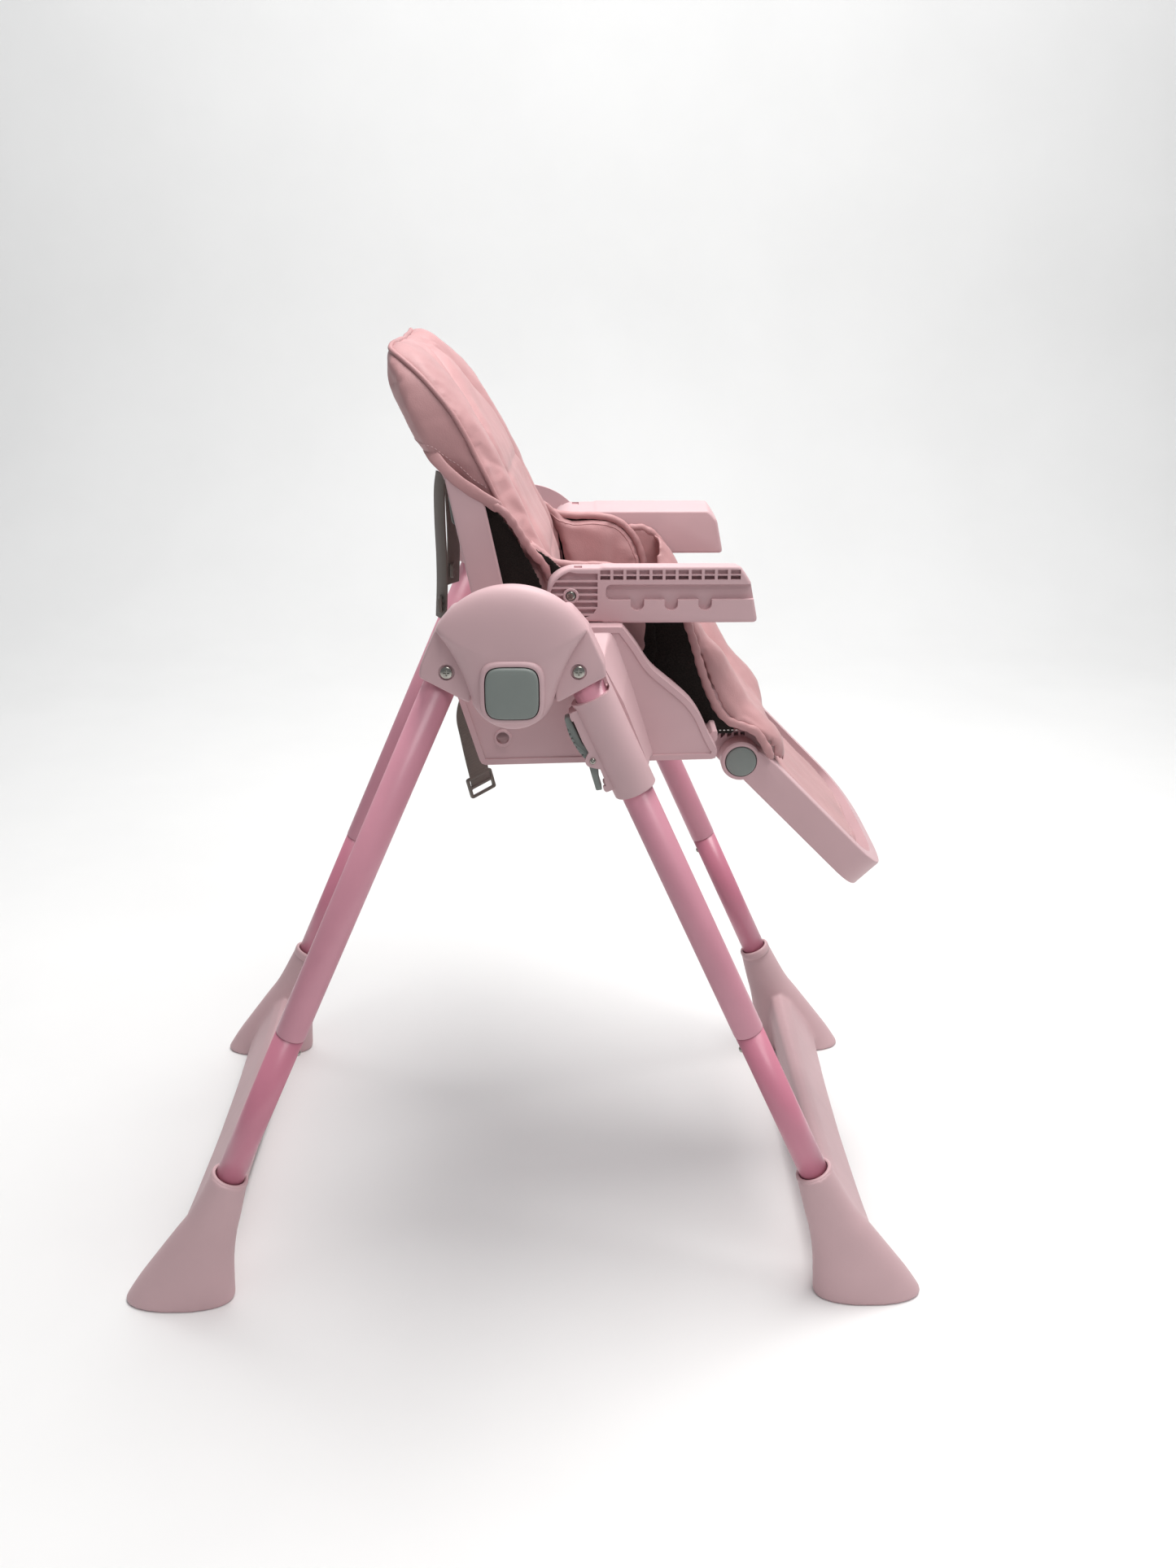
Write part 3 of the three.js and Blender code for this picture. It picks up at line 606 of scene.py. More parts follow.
def studio():
    half, back, turn, height = 4.5, 3.0, 0.9, 3.6
    path = [(-4.0, 0.0)]
    for k in range(13):
        a = k / 12 * math.pi / 2
        path.append((back - turn + turn * math.sin(a), turn - turn * math.cos(a)))
    path.append((back, height))
    verts = [(x, y, z) for y, z in path for x in (-half, half)]
    faces = [(2 * i, 2 * i + 1, 2 * i + 3, 2 * i + 2) for i in range(len(path) - 1)]
    mesh = bpy.data.meshes.new("floor")
    mesh.from_pydata(verts, [], faces)
    floor = bpy.data.objects.new("floor", mesh)
    bpy.context.scene.collection.objects.link(floor)
    mesh.polygons.foreach_set("use_smooth", [True] * len(mesh.polygons))
    mat, tree, shader = node_material("floor")
    tint = ramp(
        tree, noise_node(tree, object_coords(tree), 3, 3), (0.86, 0.86, 0.855, 1), (0.885, 0.885, 0.88, 1)
    )
    tree.links.new(tint, shader.inputs["Base Color"])
    shader.inputs["Roughness"].default_value = 0.75
    floor.data.materials.append(mat)

    world = bpy.data.worlds.new("world")
    bpy.context.scene.world = world
    world.use_nodes = True
    world.node_tree.nodes["Background"].inputs["Color"].default_value = (0.93, 0.96, 1.0, 1)
    world.node_tree.nodes["Background"].inputs["Strength"].default_value = 0.27
    light("key", (0.5, 0.0, 2.8), (0.1, 0.0, 0.4), (1.6, 1.3), 66, (1.0, 0.985, 0.97))
    light("front", (0.8, -1.8, 2.7), (0.1, 0.0, 0.6), (1.3, 1.0), 20, (1.0, 0.99, 0.98))
    light("wall", (0.2, 1.5, 3.2), (0.0, 3.0, 1.3), (3.6, 0.8), 38)
    view = bpy.context.scene.view_settings
    view.view_transform = "Standard"
    view.look = "None"
    view.exposure = 0.0


camera()
studio()


# ---------------------------------------------------------------- legs
def leg_matrix():
    return Matrix.Translation(LEG_AT) @ Matrix.Rotation(-LEAN, 4, "Y")


FOOT_SECTIONS = [
    # inner x, z, outer x, z, half width, squareness, up the foot
    (303.0, 0.0, 413.5, 0.0, 25.5, 2.3),
    (302.0, 3.0, 415.0, 3.0, 26.5, 2.3),
    (301.0, 26.0, 400.0, 26.0, 25.5, 2.3),
    (299.0, 52.0, 379.0, 54.0, 23.5, 2.3),
    (294.0, 80.0, 357.0, 83.0, 21.5, 2.2),
    (288.0, 102.0, 339.0, 107.0, 20.0, 2.1),
    (278.6, 140.0, 312.4, 155.0, 18.5, 2.0),
]
FOOT_Y = 252.5
BAR_HALF = 240.0


def foot_solid(name):
    rows = curve_through(FOOT_SECTIONS[1:], 26)
    rows = np.vstack([[FOOT_SECTIONS[0]], rows])
    rings = []
    for xi, zi, xo, zo, half, square in rows:
        ring = []
        for i in range(48):
            a = 2 * math.pi * i / 48
            c, s = math.cos(a), math.sin(a)
            u = 0.5 + 0.5 * math.copysign(abs(c) ** (2 / square), c)
            v = half * math.copysign(abs(s) ** (2 / square), s)
            ring.append((xi + (xo - xi) * u, FOOT_Y + v, zi + (zo - zi) * u))
        rings.append(ring)
    return new_object(name, *closed_loft(rings))


def bar_outline(y, inset):
    far = min(abs(y) / BAR_HALF, 1)
    rise, spread = 12 * far**3, 6 * far**2
    return rounded(
        [
            (326 + inset, 10),
            (321 - spread * 0.5 + inset, 48 + rise * 0.5),
            (322 - spread * 0.5 + inset * 0.8, 70 + rise - inset * 0.8),
            (332, 75 + rise - inset),
            (342 + spread * 0.5 - inset * 0.6, 66 + rise - inset * 0.8),
            (361 + spread - inset * 0.8, 41 + rise * 0.5 - inset * 0.6),
            (374 + spread - inset, 22),
            (374 + spread - inset, 10),
        ],
        [1, 12, 7, 6, 9, 14, 4, 1],
        4,
    )


def base_piece(name):
    """One moulding: two flared feet with sockets and the raised bar between them, hollow below."""
    rows = np.linspace(-BAR_HALF, BAR_HALF, 41)
    bar = new_object("bar", *closed_loft([[(x, y, z) for x, z in bar_outline(y, 0)] for y in rows]))
    hollow_rings = [[(x, y * 0.88, z - 1) for x, z in bar_outline(y, 5)] for y in rows]
    hollow = new_object("hollow", *closed_loft(hollow_rings))
    hollow.data.transform(Matrix.Translation((0, 0, -0.002)))
    combine(bar, hollow)
    foot = foot_solid("foot")
    other = mirrored(foot, "foot_other")
    combine(bar, foot, other, how="UNION")
    voxelled(bar, 2.2, 5)
    bore = [(0, -30), (SOCKET_R, -30), (SOCKET_R, 40), (0, 40)]
    socket = lathe("socket", bore, 64, leg_matrix())
    combine(bar, mirrored(socket, "socket_other"), socket)
    bar.name = name
    return bar


def socket_rim(name):
    """The thin moulded lip round a socket's mouth."""
    profile = [
        (15.2, -9), (18.6, -9), (19.3, -6), (19.4, -1.5), (18.9, 0.4), (18.0, 1.2), (16.0, 1.2),
        (15.2, 0.4),
    ]
    return lathe(name, profile, 64, leg_matrix())


def lower_tube(name):
    profile = [
        (12.2, -44), (14.5, -44), (14.5, JOINT_S - 0.2), (12.4, JOINT_S - 0.2), (12.4, JOINT_S + 40),
        (11, JOINT_S + 40),
    ]
    return lathe(name, profile, 64, leg_matrix())


def upper_tube(name, holes):
    low = JOINT_S + 0.3
    profile = [
        (12.8, low + 0.8), (13.4, low), (14.4, low), (14.9, low + 0.4), (15, low + 1.2), (15, TUBE_TOP_S),
        (12.8, TUBE_TOP_S),
    ]
    tube = lathe(name, profile, 64, leg_matrix())
    for i in range(holes):
        spot = Matrix.Translation((-9, 0, LOCK_S - LOCK_PITCH * i))
        turn = leg_matrix() @ spot @ Matrix.Rotation(-math.pi / 2, 4, "Y")
        combine(tube, lathe("hole", [(0, 0), (3, 0), (3, 10), (0, 10)], 24, turn))
    return tube


def snap_button(name):
    """The sprung button that locks a lower tube in its upper tube, on the side that faces the other leg."""
    spot = leg_matrix() @ Matrix.Translation((-LOWER_R + 0.8, 0, JOINT_S - 16))
    profile = [(0, -1), (3.2, -1), (3.2, 1.0), (2.7, 2.0), (1.6, 2.6), (0, 2.8)]
    return lathe(name, profile, 24, spot @ Matrix.Rotation(-math.pi / 2, 4, "Y"))


def legs():
    for end, x, body in (("front", 1, "front_frame"), ("rear", -1, "rear_frame")):
        def placed(piece):
            return flipped(piece, x=-1) if x < 0 else piece

        dress(placed(base_piece(f"{end}_base_moulding")), "pink_plastic", body, f"{end}_base")
        on_both_sides(placed(socket_rim(f"{end}_socket_rim_left")), "pink_plastic", body)
        on_both_sides(
            placed(lower_tube(f"{end}_lower_leg_left")), "lower_paint", body, f"{end}_lower_tube"
        )
        upper = placed(upper_tube(f"{end}_upper_leg_left", LOCK_COUNT if x > 0 else 0))
        on_both_sides(upper, "upper_paint", body, f"{end}_upper_tube")
        on_both_sides(placed(snap_button(f"{end}_snap_button_left")), "steel", body)


# ---------------------------------------------------------------- hub
BRACKET = [(37.5, 650), (82.5, 675), (80.5, 686), (67, 716), (50, 736), (20, 716), (33, 690)]
WEB = [(16, 640), (44, 656), (60, 700), (42, 736), (6, 700)]


def hub_bracket(name, layer, other_layer):
    body = prism(name, rounded(BRACKET, [4, 5, 6, 8, 8, 4, 4]), 231, 269)
    bevel(body, 3.0, 4, now=True)
    combine(body, rod_y("turning", 37.5, *other_layer, 0, HUB_Z, 96))
    combine(
        body, rod_y("disc", 36, *layer, 0, HUB_Z, 96, 1.0),
        prism("web", WEB, layer[0] + 0.4, layer[1] - 0.4), how="UNION",
    )
    bore = [(0, 540), (15.3, 540), (15.3, TUBE_TOP_S + 0.3), (0, TUBE_TOP_S + 0.3)]
    combine(body, lathe("bore", bore, 64, leg_matrix()))
    at = leg_matrix() @ Vector((0, 0, SCREW_S))
    combine(
        body, rod_y("sink", 7.2, 267.4, 280, at.x, at.z, 40), rod_y("hole", 2.8, 225, 280, at.x, at.z, 24)
    )
    combine(body, rod_y("axle", 7.3, 200, 300, 0, HUB_Z, 40))
    return bevel(body, 0.6, 2)


def cross_screw(name, at, head_y, r=5.4):
    """A pan head with a cross recess, facing out of the left side."""
    dome = [
        (0, head_y - 20), (2.3, head_y - 20), (2.3, head_y - 1.9), (r, head_y - 1.9), (r, head_y - 1.0)
    ]
    dome += [(r * 0.86, head_y - 0.35), (r * 0.5, head_y), (0, head_y + 0.1)]
    screw = lathe(name, dome, 40, along_y(at[0], at[1]))
    arm, deep = r * 0.52, 1.3
    for x, z in ((arm, 0.55), (0.55, arm)):
        slot = block("slot", (at[0] - x, at[0] + x), (head_y - deep, head_y + 2), (at[1] - z, at[1] + z))
        combine(screw, slot)
    return bevel(screw, 0.12, 1, 40)


def cover_outline():
    """A fan over the hub, whose sides curve in to a round below it."""
    tip = math.radians(28.5)
    fan = [
        (FAN_R * math.cos(a), FAN_Z + FAN_R * math.sin(a)) for a in np.linspace(tip, math.pi - tip, 60)
    ]
    end = math.radians(-22)
    start = Vector((65.0, 717.5))
    low = Vector((ROUND_R * math.cos(end), HUB_Z + ROUND_R * math.sin(end)))
    pull = Vector((44, 690))
    side = [start * (1 - t) ** 2 + pull * 2 * t * (1 - t) + low * t * t for t in np.linspace(0, 1, 18)]
    turns = np.linspace(end, -math.pi - end, 40)[-2:0:-1]
    round_end = [(ROUND_R * math.cos(a), HUB_Z + ROUND_R * math.sin(a)) for a in turns]
    path = fan + [(-p.x, p.y) for p in side] + round_end + [tuple(p) for p in reversed(side)]
    return even(path + [path[0]], 181)[:-1]


def squarish(half, power=4.3):
    """A square with bulging sides and round corners, centred on the hub: (X, Z) points."""
    pts = []
    for a in np.arange(96) * (2 * math.pi / 96):
        c, s = math.cos(a), math.sin(a)
        far = half / (abs(c) ** power + abs(s) ** power) ** (1 / power)
        pts.append((far * c, HUB_Z + far * s))
    return pts


def hub_cover(name):
    """A domed fan with a raised rim round the button's pocket."""
    flat = cover_outline()
    middle = np.array((0.0, 690.0))
    rings = [[(x, y, z) for x, z in flat] for y in (269.5, DOME_Y)]
    for k in np.linspace(0, 1, 26)[1:]:
        turn = k * math.pi / 2
        scale = math.cos(turn) ** 0.62 if k < 1 else 0.02
        height = DOME_Y + 17.8 * math.sin(turn) ** 0.9
        rings.append([(x, height, z) for x, z in middle + (flat - middle) * scale])
    dome = new_object(name, *closed_loft(rings))
    rim = prism("rim", squarish(28.5, 4.0), 272, 292.6)
    bevel(rim, 4.0, 5, now=True)
    boss = rod_y("boss", 20, 262.4, 273, 0, HUB_Z, 64)
    combine(dome, rim, boss, how="UNION")
    combine(dome, prism("pocket", squarish(23.9), 275, 310))
    return bevel(dome, 0.8, 3, 40, rounds=True)


def hub_button(name):
    """A softly bulging square, its face slightly crowned."""
    rings = [[(x, 282, z) for x, z in squarish(BUTTON_HALF)]]
    for k in np.linspace(0, 1, 9):
        size = BUTTON_HALF - 2.4 * (1 - math.sqrt(1 - k * k))
        rings.append([(x, 293.2 + 2.2 * k, z) for x, z in squarish(size)])
    for size, y in ((16, 295.9), (10, 296.2), (4, 296.3), (0.5, 296.3)):
        rings.append([(x, y, z) for x, z in squarish(size)])
    return new_object(name, *closed_loft(rings))


def hubs():
    front = hub_bracket("front_hub_bracket_left", FRONT_LAYER, (200, 250))
    rear = hub_bracket("rear_hub_bracket_left", REAR_LAYER, (249.9, 300))
    flipped(rear, x=-1)
    on_both_sides(front, "pink_plastic", "front_frame", "front_bracket")
    on_both_sides(rear, "pink_plastic", "rear_frame", "rear_bracket")
    at = leg_matrix() @ Vector((0, 0, SCREW_S))
    on_both_sides(
        cross_screw("front_hub_screw_left", (at.x, at.z), 270.8), "steel", "front_frame", "front_screw"
    )
    on_both_sides(
        cross_screw("rear_hub_screw_left", (-at.x, at.z), 270.8), "steel", "rear_frame", "rear_screw"
    )
    on_both_sides(hub_cover("hub_dome_left"), "pink_plastic", "front_frame", "hub_cover")
    on_both_sides(hub_button("fold_button_left"), "grey_plastic", "hub_button", "hub_button", bodies=True)


legs()
hubs()


# ---------------------------------------------------------------- seat frame
PANEL_OUT = 195.0
PANEL_EDGE = [
    (189.4, 581), (182, 594), (173.2, 613.3), (161.6, 629.8), (143.4, 646.1), (125.3, 662.3),
    (111.8, 682.9), (98.4, 701),
]


def inset(outline, distance):
    """A closed outline moved inwards by a distance."""
    pts = np.array(outline)
    step = np.roll(pts, -1, axis=0) - np.roll(pts, 1, axis=0)
    step /= np.linalg.norm(step, axis=1)[:, None] + 1e-9
    turn = np.stack([-step[:, 1], step[:, 0]], axis=1)
    area = np.sum(pts[:, 0] * np.roll(pts[:, 1], -1) - pts[:, 1] * np.roll(pts[:, 0], -1))
    return pts + turn * distance * (1 if area > 0 else -1)


def side_panel(name):
    """The chair's side: a face with a returned lip all round, and a flank that swells out to the sleeve."""
    edge = [tuple(p) for p in curve_through(PANEL_EDGE, 26)]
    corners = [(98.4, 701), (-44, 700.6), (-55.9, 640), (-34, 567.4), (188.6, 572.4), (189.4, 581)]
    corners = rounded(corners, [0, 10, 30, 6, 4, 0], 6)
    outline = even(edge + corners[1:-1] + edge[:1], 170)[:-1]
    face = prism(name, outline, 189, PANEL_OUT)
    lip = prism("lip", outline, 172, PANEL_OUT + 1.2)
    combine(lip, prism("inner", inset(outline, 5.5), 150, 220))
    flank_in = [(52, 700), (90, 700), (104, 661), (131, 573.5), (92, 572.5), (62, 640)]
    flank_out = [(66, 690), (80, 676), (99, 640), (124, 576), (106, 573), (75, 640)]
    low = [(x, PANEL_OUT - 3, z) for x, z in rounded(flank_in, 5)]
    mid = [
        (x * 0.4 + u * 0.6, PANEL_OUT + 12, z * 0.4 + w * 0.6)
        for (x, z), (u, w) in zip(rounded(flank_in, 5), rounded(flank_out, 5))
    ]
    high = [(x, 233, z) for x, z in rounded(flank_out, 5)]
    flank = new_object("flank", *closed_loft([low, mid, high]))
    room = lathe("room", [(0, 430), (17, 430), (17, 590), (0, 590)], 48, leg_matrix())
    combine(flank, room)
    bead = rod_y("bead", 8.6, 190, PANEL_OUT + 1.6, *PEG, 48, 1.2)
    combine(face, lip, flank, bead, how="UNION")
    combine(face, rod_y("peg_hole", 6, 188, 200, *PEG, 40))
    return bevel(face, 2.2, 4, 38)


def sleeve(name):
    """The sleeve that slides on the front leg, with the lever's housing on its rear."""
    body = lathe(name, [(0, 455), (19.2, 455), (20, 456), (20, 569), (0, 569)], 72, leg_matrix())
    cut_line = [
        (-40, 553.2), (15.5, 553.8), (18.4, 556.5), (18.9, 566.4), (20, 567.4), (40, 567.4), (40, 600),
        (-40, 600),
    ]
    combine(body, prism("above", cut_line, -40, 40, matrix=leg_matrix()))
    boss = [(-24.1 + 6.2 * math.cos(a), 499.3 + 6.2 * math.sin(a)) for a in np.linspace(2.3, 4.0, 7)]
    cheek = rounded(
        [(-12, 548.6), (-25.4, 548.6), (-25.4, 540)], [1, 4, 1]
    ) + [(-24.6, 520), (-23.6, 508)] + boss
    cheek += [(-20.6, 489), (-21.0, 480)] + rounded(
        [(-25.6, 474), (-25.6, 466.4), (-12, 466.4)], [3, 3, 1]
    )
    for y0, y1 in ((6.3, 10.6), (-10.6, -6.3)):
        combine(
            body, bevel(prism("cheek", cheek, y0, y1, matrix=leg_matrix()), 1.0, 3, now=True), how="UNION"
        )
    bridge = block("bridge", (-25, -17), (-8, 8), (544, 548.4), leg_matrix())
    pivot = rod_y("pivot", 2.1, -8, 8, *LEVER_PIVOT, 24)
    pivot.data.transform(Matrix.Scale(MM, 4) @ leg_matrix() @ Matrix.Scale(1 / MM, 4))
    pad = block("pad", (-11, 11), (-54, -16.5), (472, 548), leg_matrix())
    combine(body, bridge, pivot, bevel(pad, 3, 3, now=True), how="UNION")
    combine(body, lathe("inside", [(0, 440), (15.6, 440), (15.6, 600), (0, 600)], 72, leg_matrix()))
    return bevel(body, 0.7, 3, 40, rounds=True)


def lever(name):
    face = [
        tuple(p)
        for p in curve_through(
            [(-31, 545), (-33.6, 528), (-32.4, 512), (-29.4, 498), (-31, 484), (-33, 470)], 30
        )
    ]
    back = [
        (-27.6, 468.5), (-25.8, 480), (-22.4, 489), (-20.9, 496), (-20.9, 508), (-25.8, 516), (-26, 545)
    ]
    grip = prism(name, face + back, -5.8, 5.8, matrix=leg_matrix())
    bevel(grip, 1.1, 3, now=True)
    ridges = []
    for i in range(15):
        s = 474 + i * 4.6
        reach = -29.2 if i in (4, 5, 6, 7) else -31.6
        ridges.append(block("ridge", (-36, reach), (-7, 7), (s, s + 1.3), leg_matrix()))
    return combine(grip, join("ridges", ridges))


def armrest(name):
    """A hollow moulding with a rib grid, rows of slots and a notched recess on its outer face."""
    inside, outside = ARM_Y
    rear = [
        (60 - 31 * math.sin(a), 724 + 30 * math.cos(a) * (1 if math.cos(a) > 0 else 0.8))
        for a in np.linspace(0.25, 2.7, 20)
    ]
    front = rounded(
        [(80, 700.4), (225.2, 700.6), (217.6, 738.5), (212.2, 747), (207, 754), (80, 754.2)],
        [1, 4, 8, 8, 6, 1], 5,
    )
    outline = even(front + rear + front[:1], 200)[:-1]
    body = bevel(prism(name, outline, inside, outside), 3.2, 4, 50, now=True)
    hollow = prism(
        "hollow", rounded([(82, 690), (214, 690), (210, 712), (84, 712)], 3), inside + 4, outside - 9
    )
    combine(body, hollow)
    grid = [p for p in inset(even(rear, 40), 3.2)][2:-2]
    region = [(76.2, 747.4), (58, 747.6)] + [tuple(p) for p in grid] + [
        (64.7, 706.2), (72, 709), (76.2, 716)
    ]
    field = prism("field", region, outside - 4.2, outside + 5)
    bars = [
        block("bar", (20, 90), (outside - 9, outside + 9), (739.4 - 6.3 * i, 741.2 - 6.3 * i))
        for i in range(6)
    ]
    combine(field, join("bars", bars), rod_y("boss", 7.4, outside - 9, outside + 9, *ARM_SCREW, 48))
    combine(body, field)
    combine(body, rod_y("ring", 7.4, outside - 6, outside + 0.6, *ARM_SCREW, 48, 0.8), how="UNION")
    combine(body, rod_y("well", 4.9, outside - 3.2, outside + 5, *ARM_SCREW, 40))
    low = [
        block("slot", (78.6 + 12 * i, 87.8 + 12 * i), (outside - 7, outside + 5), (741.4, 745.2))
        for i in range(11)
    ]
    high = [
        block("dimple", (78.6 + 12 * i, 87.8 + 12 * i), (outside - 3.4, outside + 5), (746.4, 750.6))
        for i in range(11)
    ]
    combine(body, join("slots", low + high))
    step = rounded([(83.8, 737.2), (83.8, 722.4), (230, 722.8), (230, 737)], [6, 6, 0.5, 0.5], 5)
    recess = prism("recess", step, outside - 6.0, outside + 5)
    notches = []
    for x in (113.0, 144.3, 175.6):
        arc = [
            (x + 6.2 * math.cos(a), 718.6 + 6.2 * math.sin(a))
            for a in np.linspace(math.pi, 2 * math.pi, 14)
        ]
        notches.append(prism("notch", arc + [(x + 6.2, 724), (x - 6.2, 724)], outside - 6.0, outside + 5))
    combine(body, recess, *notches)
    combine(body, block("pointer_slot", (54.5, 62), (outside - 14, outside - 1.5), (750.5, 760)))
    for v in body.data.vertices:
        high = min(max((v.co.z / MM - 735) / 19, 0), 1)
        inward = min(max((outside - 5 - v.co.y / MM) / (outside - 5 - inside), 0), 1)
        v.co.z -= ARM_DROP * MM * high * inward
    return bevel(body, 0.8, 3, 40)


def turned_to_footrest():
    return Matrix.Translation((HINGE[0], 0, HINGE[1])) @ Matrix.Rotation(FOOTREST_TILT, 4, "Y")


def footrest_outline(start, edge, count=72):
    """Seen from above: straight sides and a blunt rounded toe, inset from the outside."""
    half = 130 - edge
    toe = []
    for i in range(count + 1):
        a = (i / count - 0.5) * math.pi
        across = math.copysign(abs(math.sin(a)) ** 0.62, a)
        toe.append((150 + (56 - edge) * max(math.cos(a), 0) ** 0.8, half * across))
    return [(start, -half)] + toe + [(start, half)]


def footrest_frame(name):
    m = turned_to_footrest()
    body = prism(name, footrest_outline(4, 0), -11.6, 23.1, "Z", m)
    corner = [(-12, 60), (-12, 19.8), (6, 20.4), (16, 22), (27, 23.1), (27, 60)]
    combine(body, prism("corner", corner, -200, 200, matrix=m))
    combine(body, prism("open", [(-60, -60), (36, -60), (36, 60), (-60, 60)], -108, 108, matrix=m))
    bevel(body, 4.5, 5, 40, now=True)
    for side in (-1, 1):
        y0, y1 = sorted((side * 108, side * 130))
        combine(body, rod_y("knuckle", 20, y0, y1, *HINGE, 72, 1.6), how="UNION")
    dish = prism("dish", footrest_outline(32, 15), 3, 60, "Z", m)
    below = prism("below", footrest_outline(40, 9), -60, 0, "Z", m)
    combine(body, bevel(dish, 3, 3, 60, now=True), below)
    for side in (-1, 1):
        y0, y1 = sorted((side * 119, side * 150))
        combine(body, rod_y("cup", 16.0, y0, y1, *HINGE, 72))
    combine(body, rod_y("pin_bore", 6.4, -125, 125, *HINGE, 40))
    return bevel(body, 1.0, 3, 40)


def footrest_bracket(name):
    """The seat's bracket for the footrest hinge: a web under a curved cover strip, with short ribs."""
    x, z = HINGE
    cover = [(x + 26.5 * math.cos(a), z + 26.5 * math.sin(a)) for a in np.linspace(0.15, 1.45, 14)]
    outline = [
        (183, 560), (x - 12, z - 14), (x, z - 19), (x + 14, z - 12), (x + 19, z - 1)
    ] + cover + [(192.5, 573), (192.5, 566)]
    body = bevel(prism(name, outline, 84, 107.7), 1.2, 3, 40, now=True)
    cells = []
    for i in range(5):
        left = 195.5 + 6.6 * i
        cell = [(left, 570), (left + 4.6, 570), (left + 4.4, 566.8 - i * 0.2), (left, 562 + i * 1.1)]
        cells.append(prism("cell", cell, 100, 120))
    combine(body, join("cells", cells))
    combine(
        body, rod_y("knuckle", 19.5, 84.2, 107.6, x, z, 64, 1.0),
        rod_y("pin", 6, 106, 118.7, x, z, 32, 0.8), how="UNION",
    )
    return bevel(body, 0.5, 2, 40)


def seat_pan(name):
    floor = rounded(
        [
            (-36, 570), (184, 576), (192, 583), (192, 592), (187, 592), (182, 584), (-28, 577),
            (-37.5, 610), (-43, 610),
        ],
        [6, 6, 6, 2, 2, 5, 8, 2, 2],
    )
    body = prism(name, floor, -185.6, 185.6)
    for y in (-180, 180):
        combine(body, block("lip_room", (172, 200), sorted((y - 8.5, y + 8.5)), (560, 600)))
    ribs = [block("rib", (-20, 170), (y - 1.5, y + 1.5), (566, 578)) for y in range(-150, 151, 50)]
    combine(body, join("ribs", ribs), how="UNION")
    return bevel(body, 1.2, 3, 40)


def back_shell(name):
    """The hard back: a shallow tray with a spine up into the hood, slotted for the harness."""
    side = rounded(
        [
            (-64, 830), (-56, 834), (-28, 808), (-12, 730), (7, 640), (9, 622), (-14, 622), (-24, 640),
            (-36, 700), (-42, 722),
        ],
        [4, 4, 6, 30, 10, 3, 3, 20, 16, 8],
    )
    hollow = [(-58, 826), (-46, 840), (0, 840), (30, 610), (-9, 610), (-19, 640), (-32, 702), (-37, 724)]
    body = prism(name, side, -SHELL_HALF, SHELL_HALF)
    bevel(body, 5, 5, 50, now=True)
    combine(body, prism("hollow", hollow, 4 - SHELL_HALF, SHELL_HALF - 4))
    spine = prism("spine", rounded([(-66, 822), (-108, 925), (-100, 928), (-57, 826)], 2), -118, 118)
    combine(body, bevel(spine, 1.5, 2, now=True), how="UNION")
    for y in (-100, 100):
        lug = rod_y("lug", 11, y - 6, y + 6, *RECLINE, 48)
        combine(lug, block("arm", (-14, 8), (y - 5.9, y + 5.9), (600, 636)), how="UNION")
        combine(body, lug, how="UNION")
    tools = [block("slot", (-120, 0), (y - 15, y + 15), (858, 866)) for y in (-80, 80)]
    combine(body, join("slots", tools), rod_y("rod_hole", 5.5, -200, 200, *RECLINE, 40))
    ribs = [
        prism("rib", [(-41, 726), (-62, 820), (-59, 824), (-34, 730)], y - 1.5, y + 1.5)
        for y in (-120, -60, 0, 60, 120)
    ]
    combine(body, join("ribs", ribs), how="UNION")
    return bevel(body, 1.0, 2, 42)


def recline_handle(name):
    grip = rounded(
        [(-66, 798), (-70, 794), (-67, 768), (-60, 763), (-52, 766), (-59, 798)], [3, 4, 5, 4, 3, 2], 4
    )
    return bevel(prism(name, grip, -36, 36), 2.4, 4, 40)


def seat_frame():
    on_both_sides(side_panel("seat_side_left"), "pink_plastic", "seat", "side_panel")
    on_both_sides(sleeve("leg_sleeve_left"), "pink_plastic", "seat", "height_sleeve")
    on_both_sides(
        lever("squeeze_lever_left"), "grey_plastic", "height_lever", "height_lever", bodies=True
    )
    on_both_sides(armrest("arm_left"), "pink_plastic", "seat", "armrest")
    on_both_sides(cross_screw("arm_screw_left", ARM_SCREW, 180.2, 4.4), "steel", "seat", "armrest_screw")
    at = leg_matrix() @ Vector((LEVER_PIVOT[0], 0, LEVER_PIVOT[1]))
    on_both_sides(cross_screw("lever_screw_left", (at.x, at.z), 262.4, 2.9), "steel", "seat")
    on_both_sides(footrest_bracket("hinge_bracket_left"), "pink_plastic", "seat", "footrest_bracket")
    dress(footrest_frame("footrest_moulding"), "pink_plastic", "footrest", "footrest_frame")
    crown = [(0, 124.3), (15.2, 124.3), (15.2, 130.6), (14.6, 131.6), (13, 132), (0, 132.4)]
    button = lathe("hinge_button_left", crown, 64, along_y(*HINGE))
    on_both_sides(button, "grey_plastic", "footrest_button", "footrest_button", bodies=True)
    dress(seat_pan("seat_floor"), "pink_plastic", "seat", "seat_pan")
    dress(back_shell("back_tray"), "pink_plastic", "backrest", "back_shell")
    dress(recline_handle("recline_grip"), "grey_plastic", "recline_handle", "recline_handle")


seat_frame()


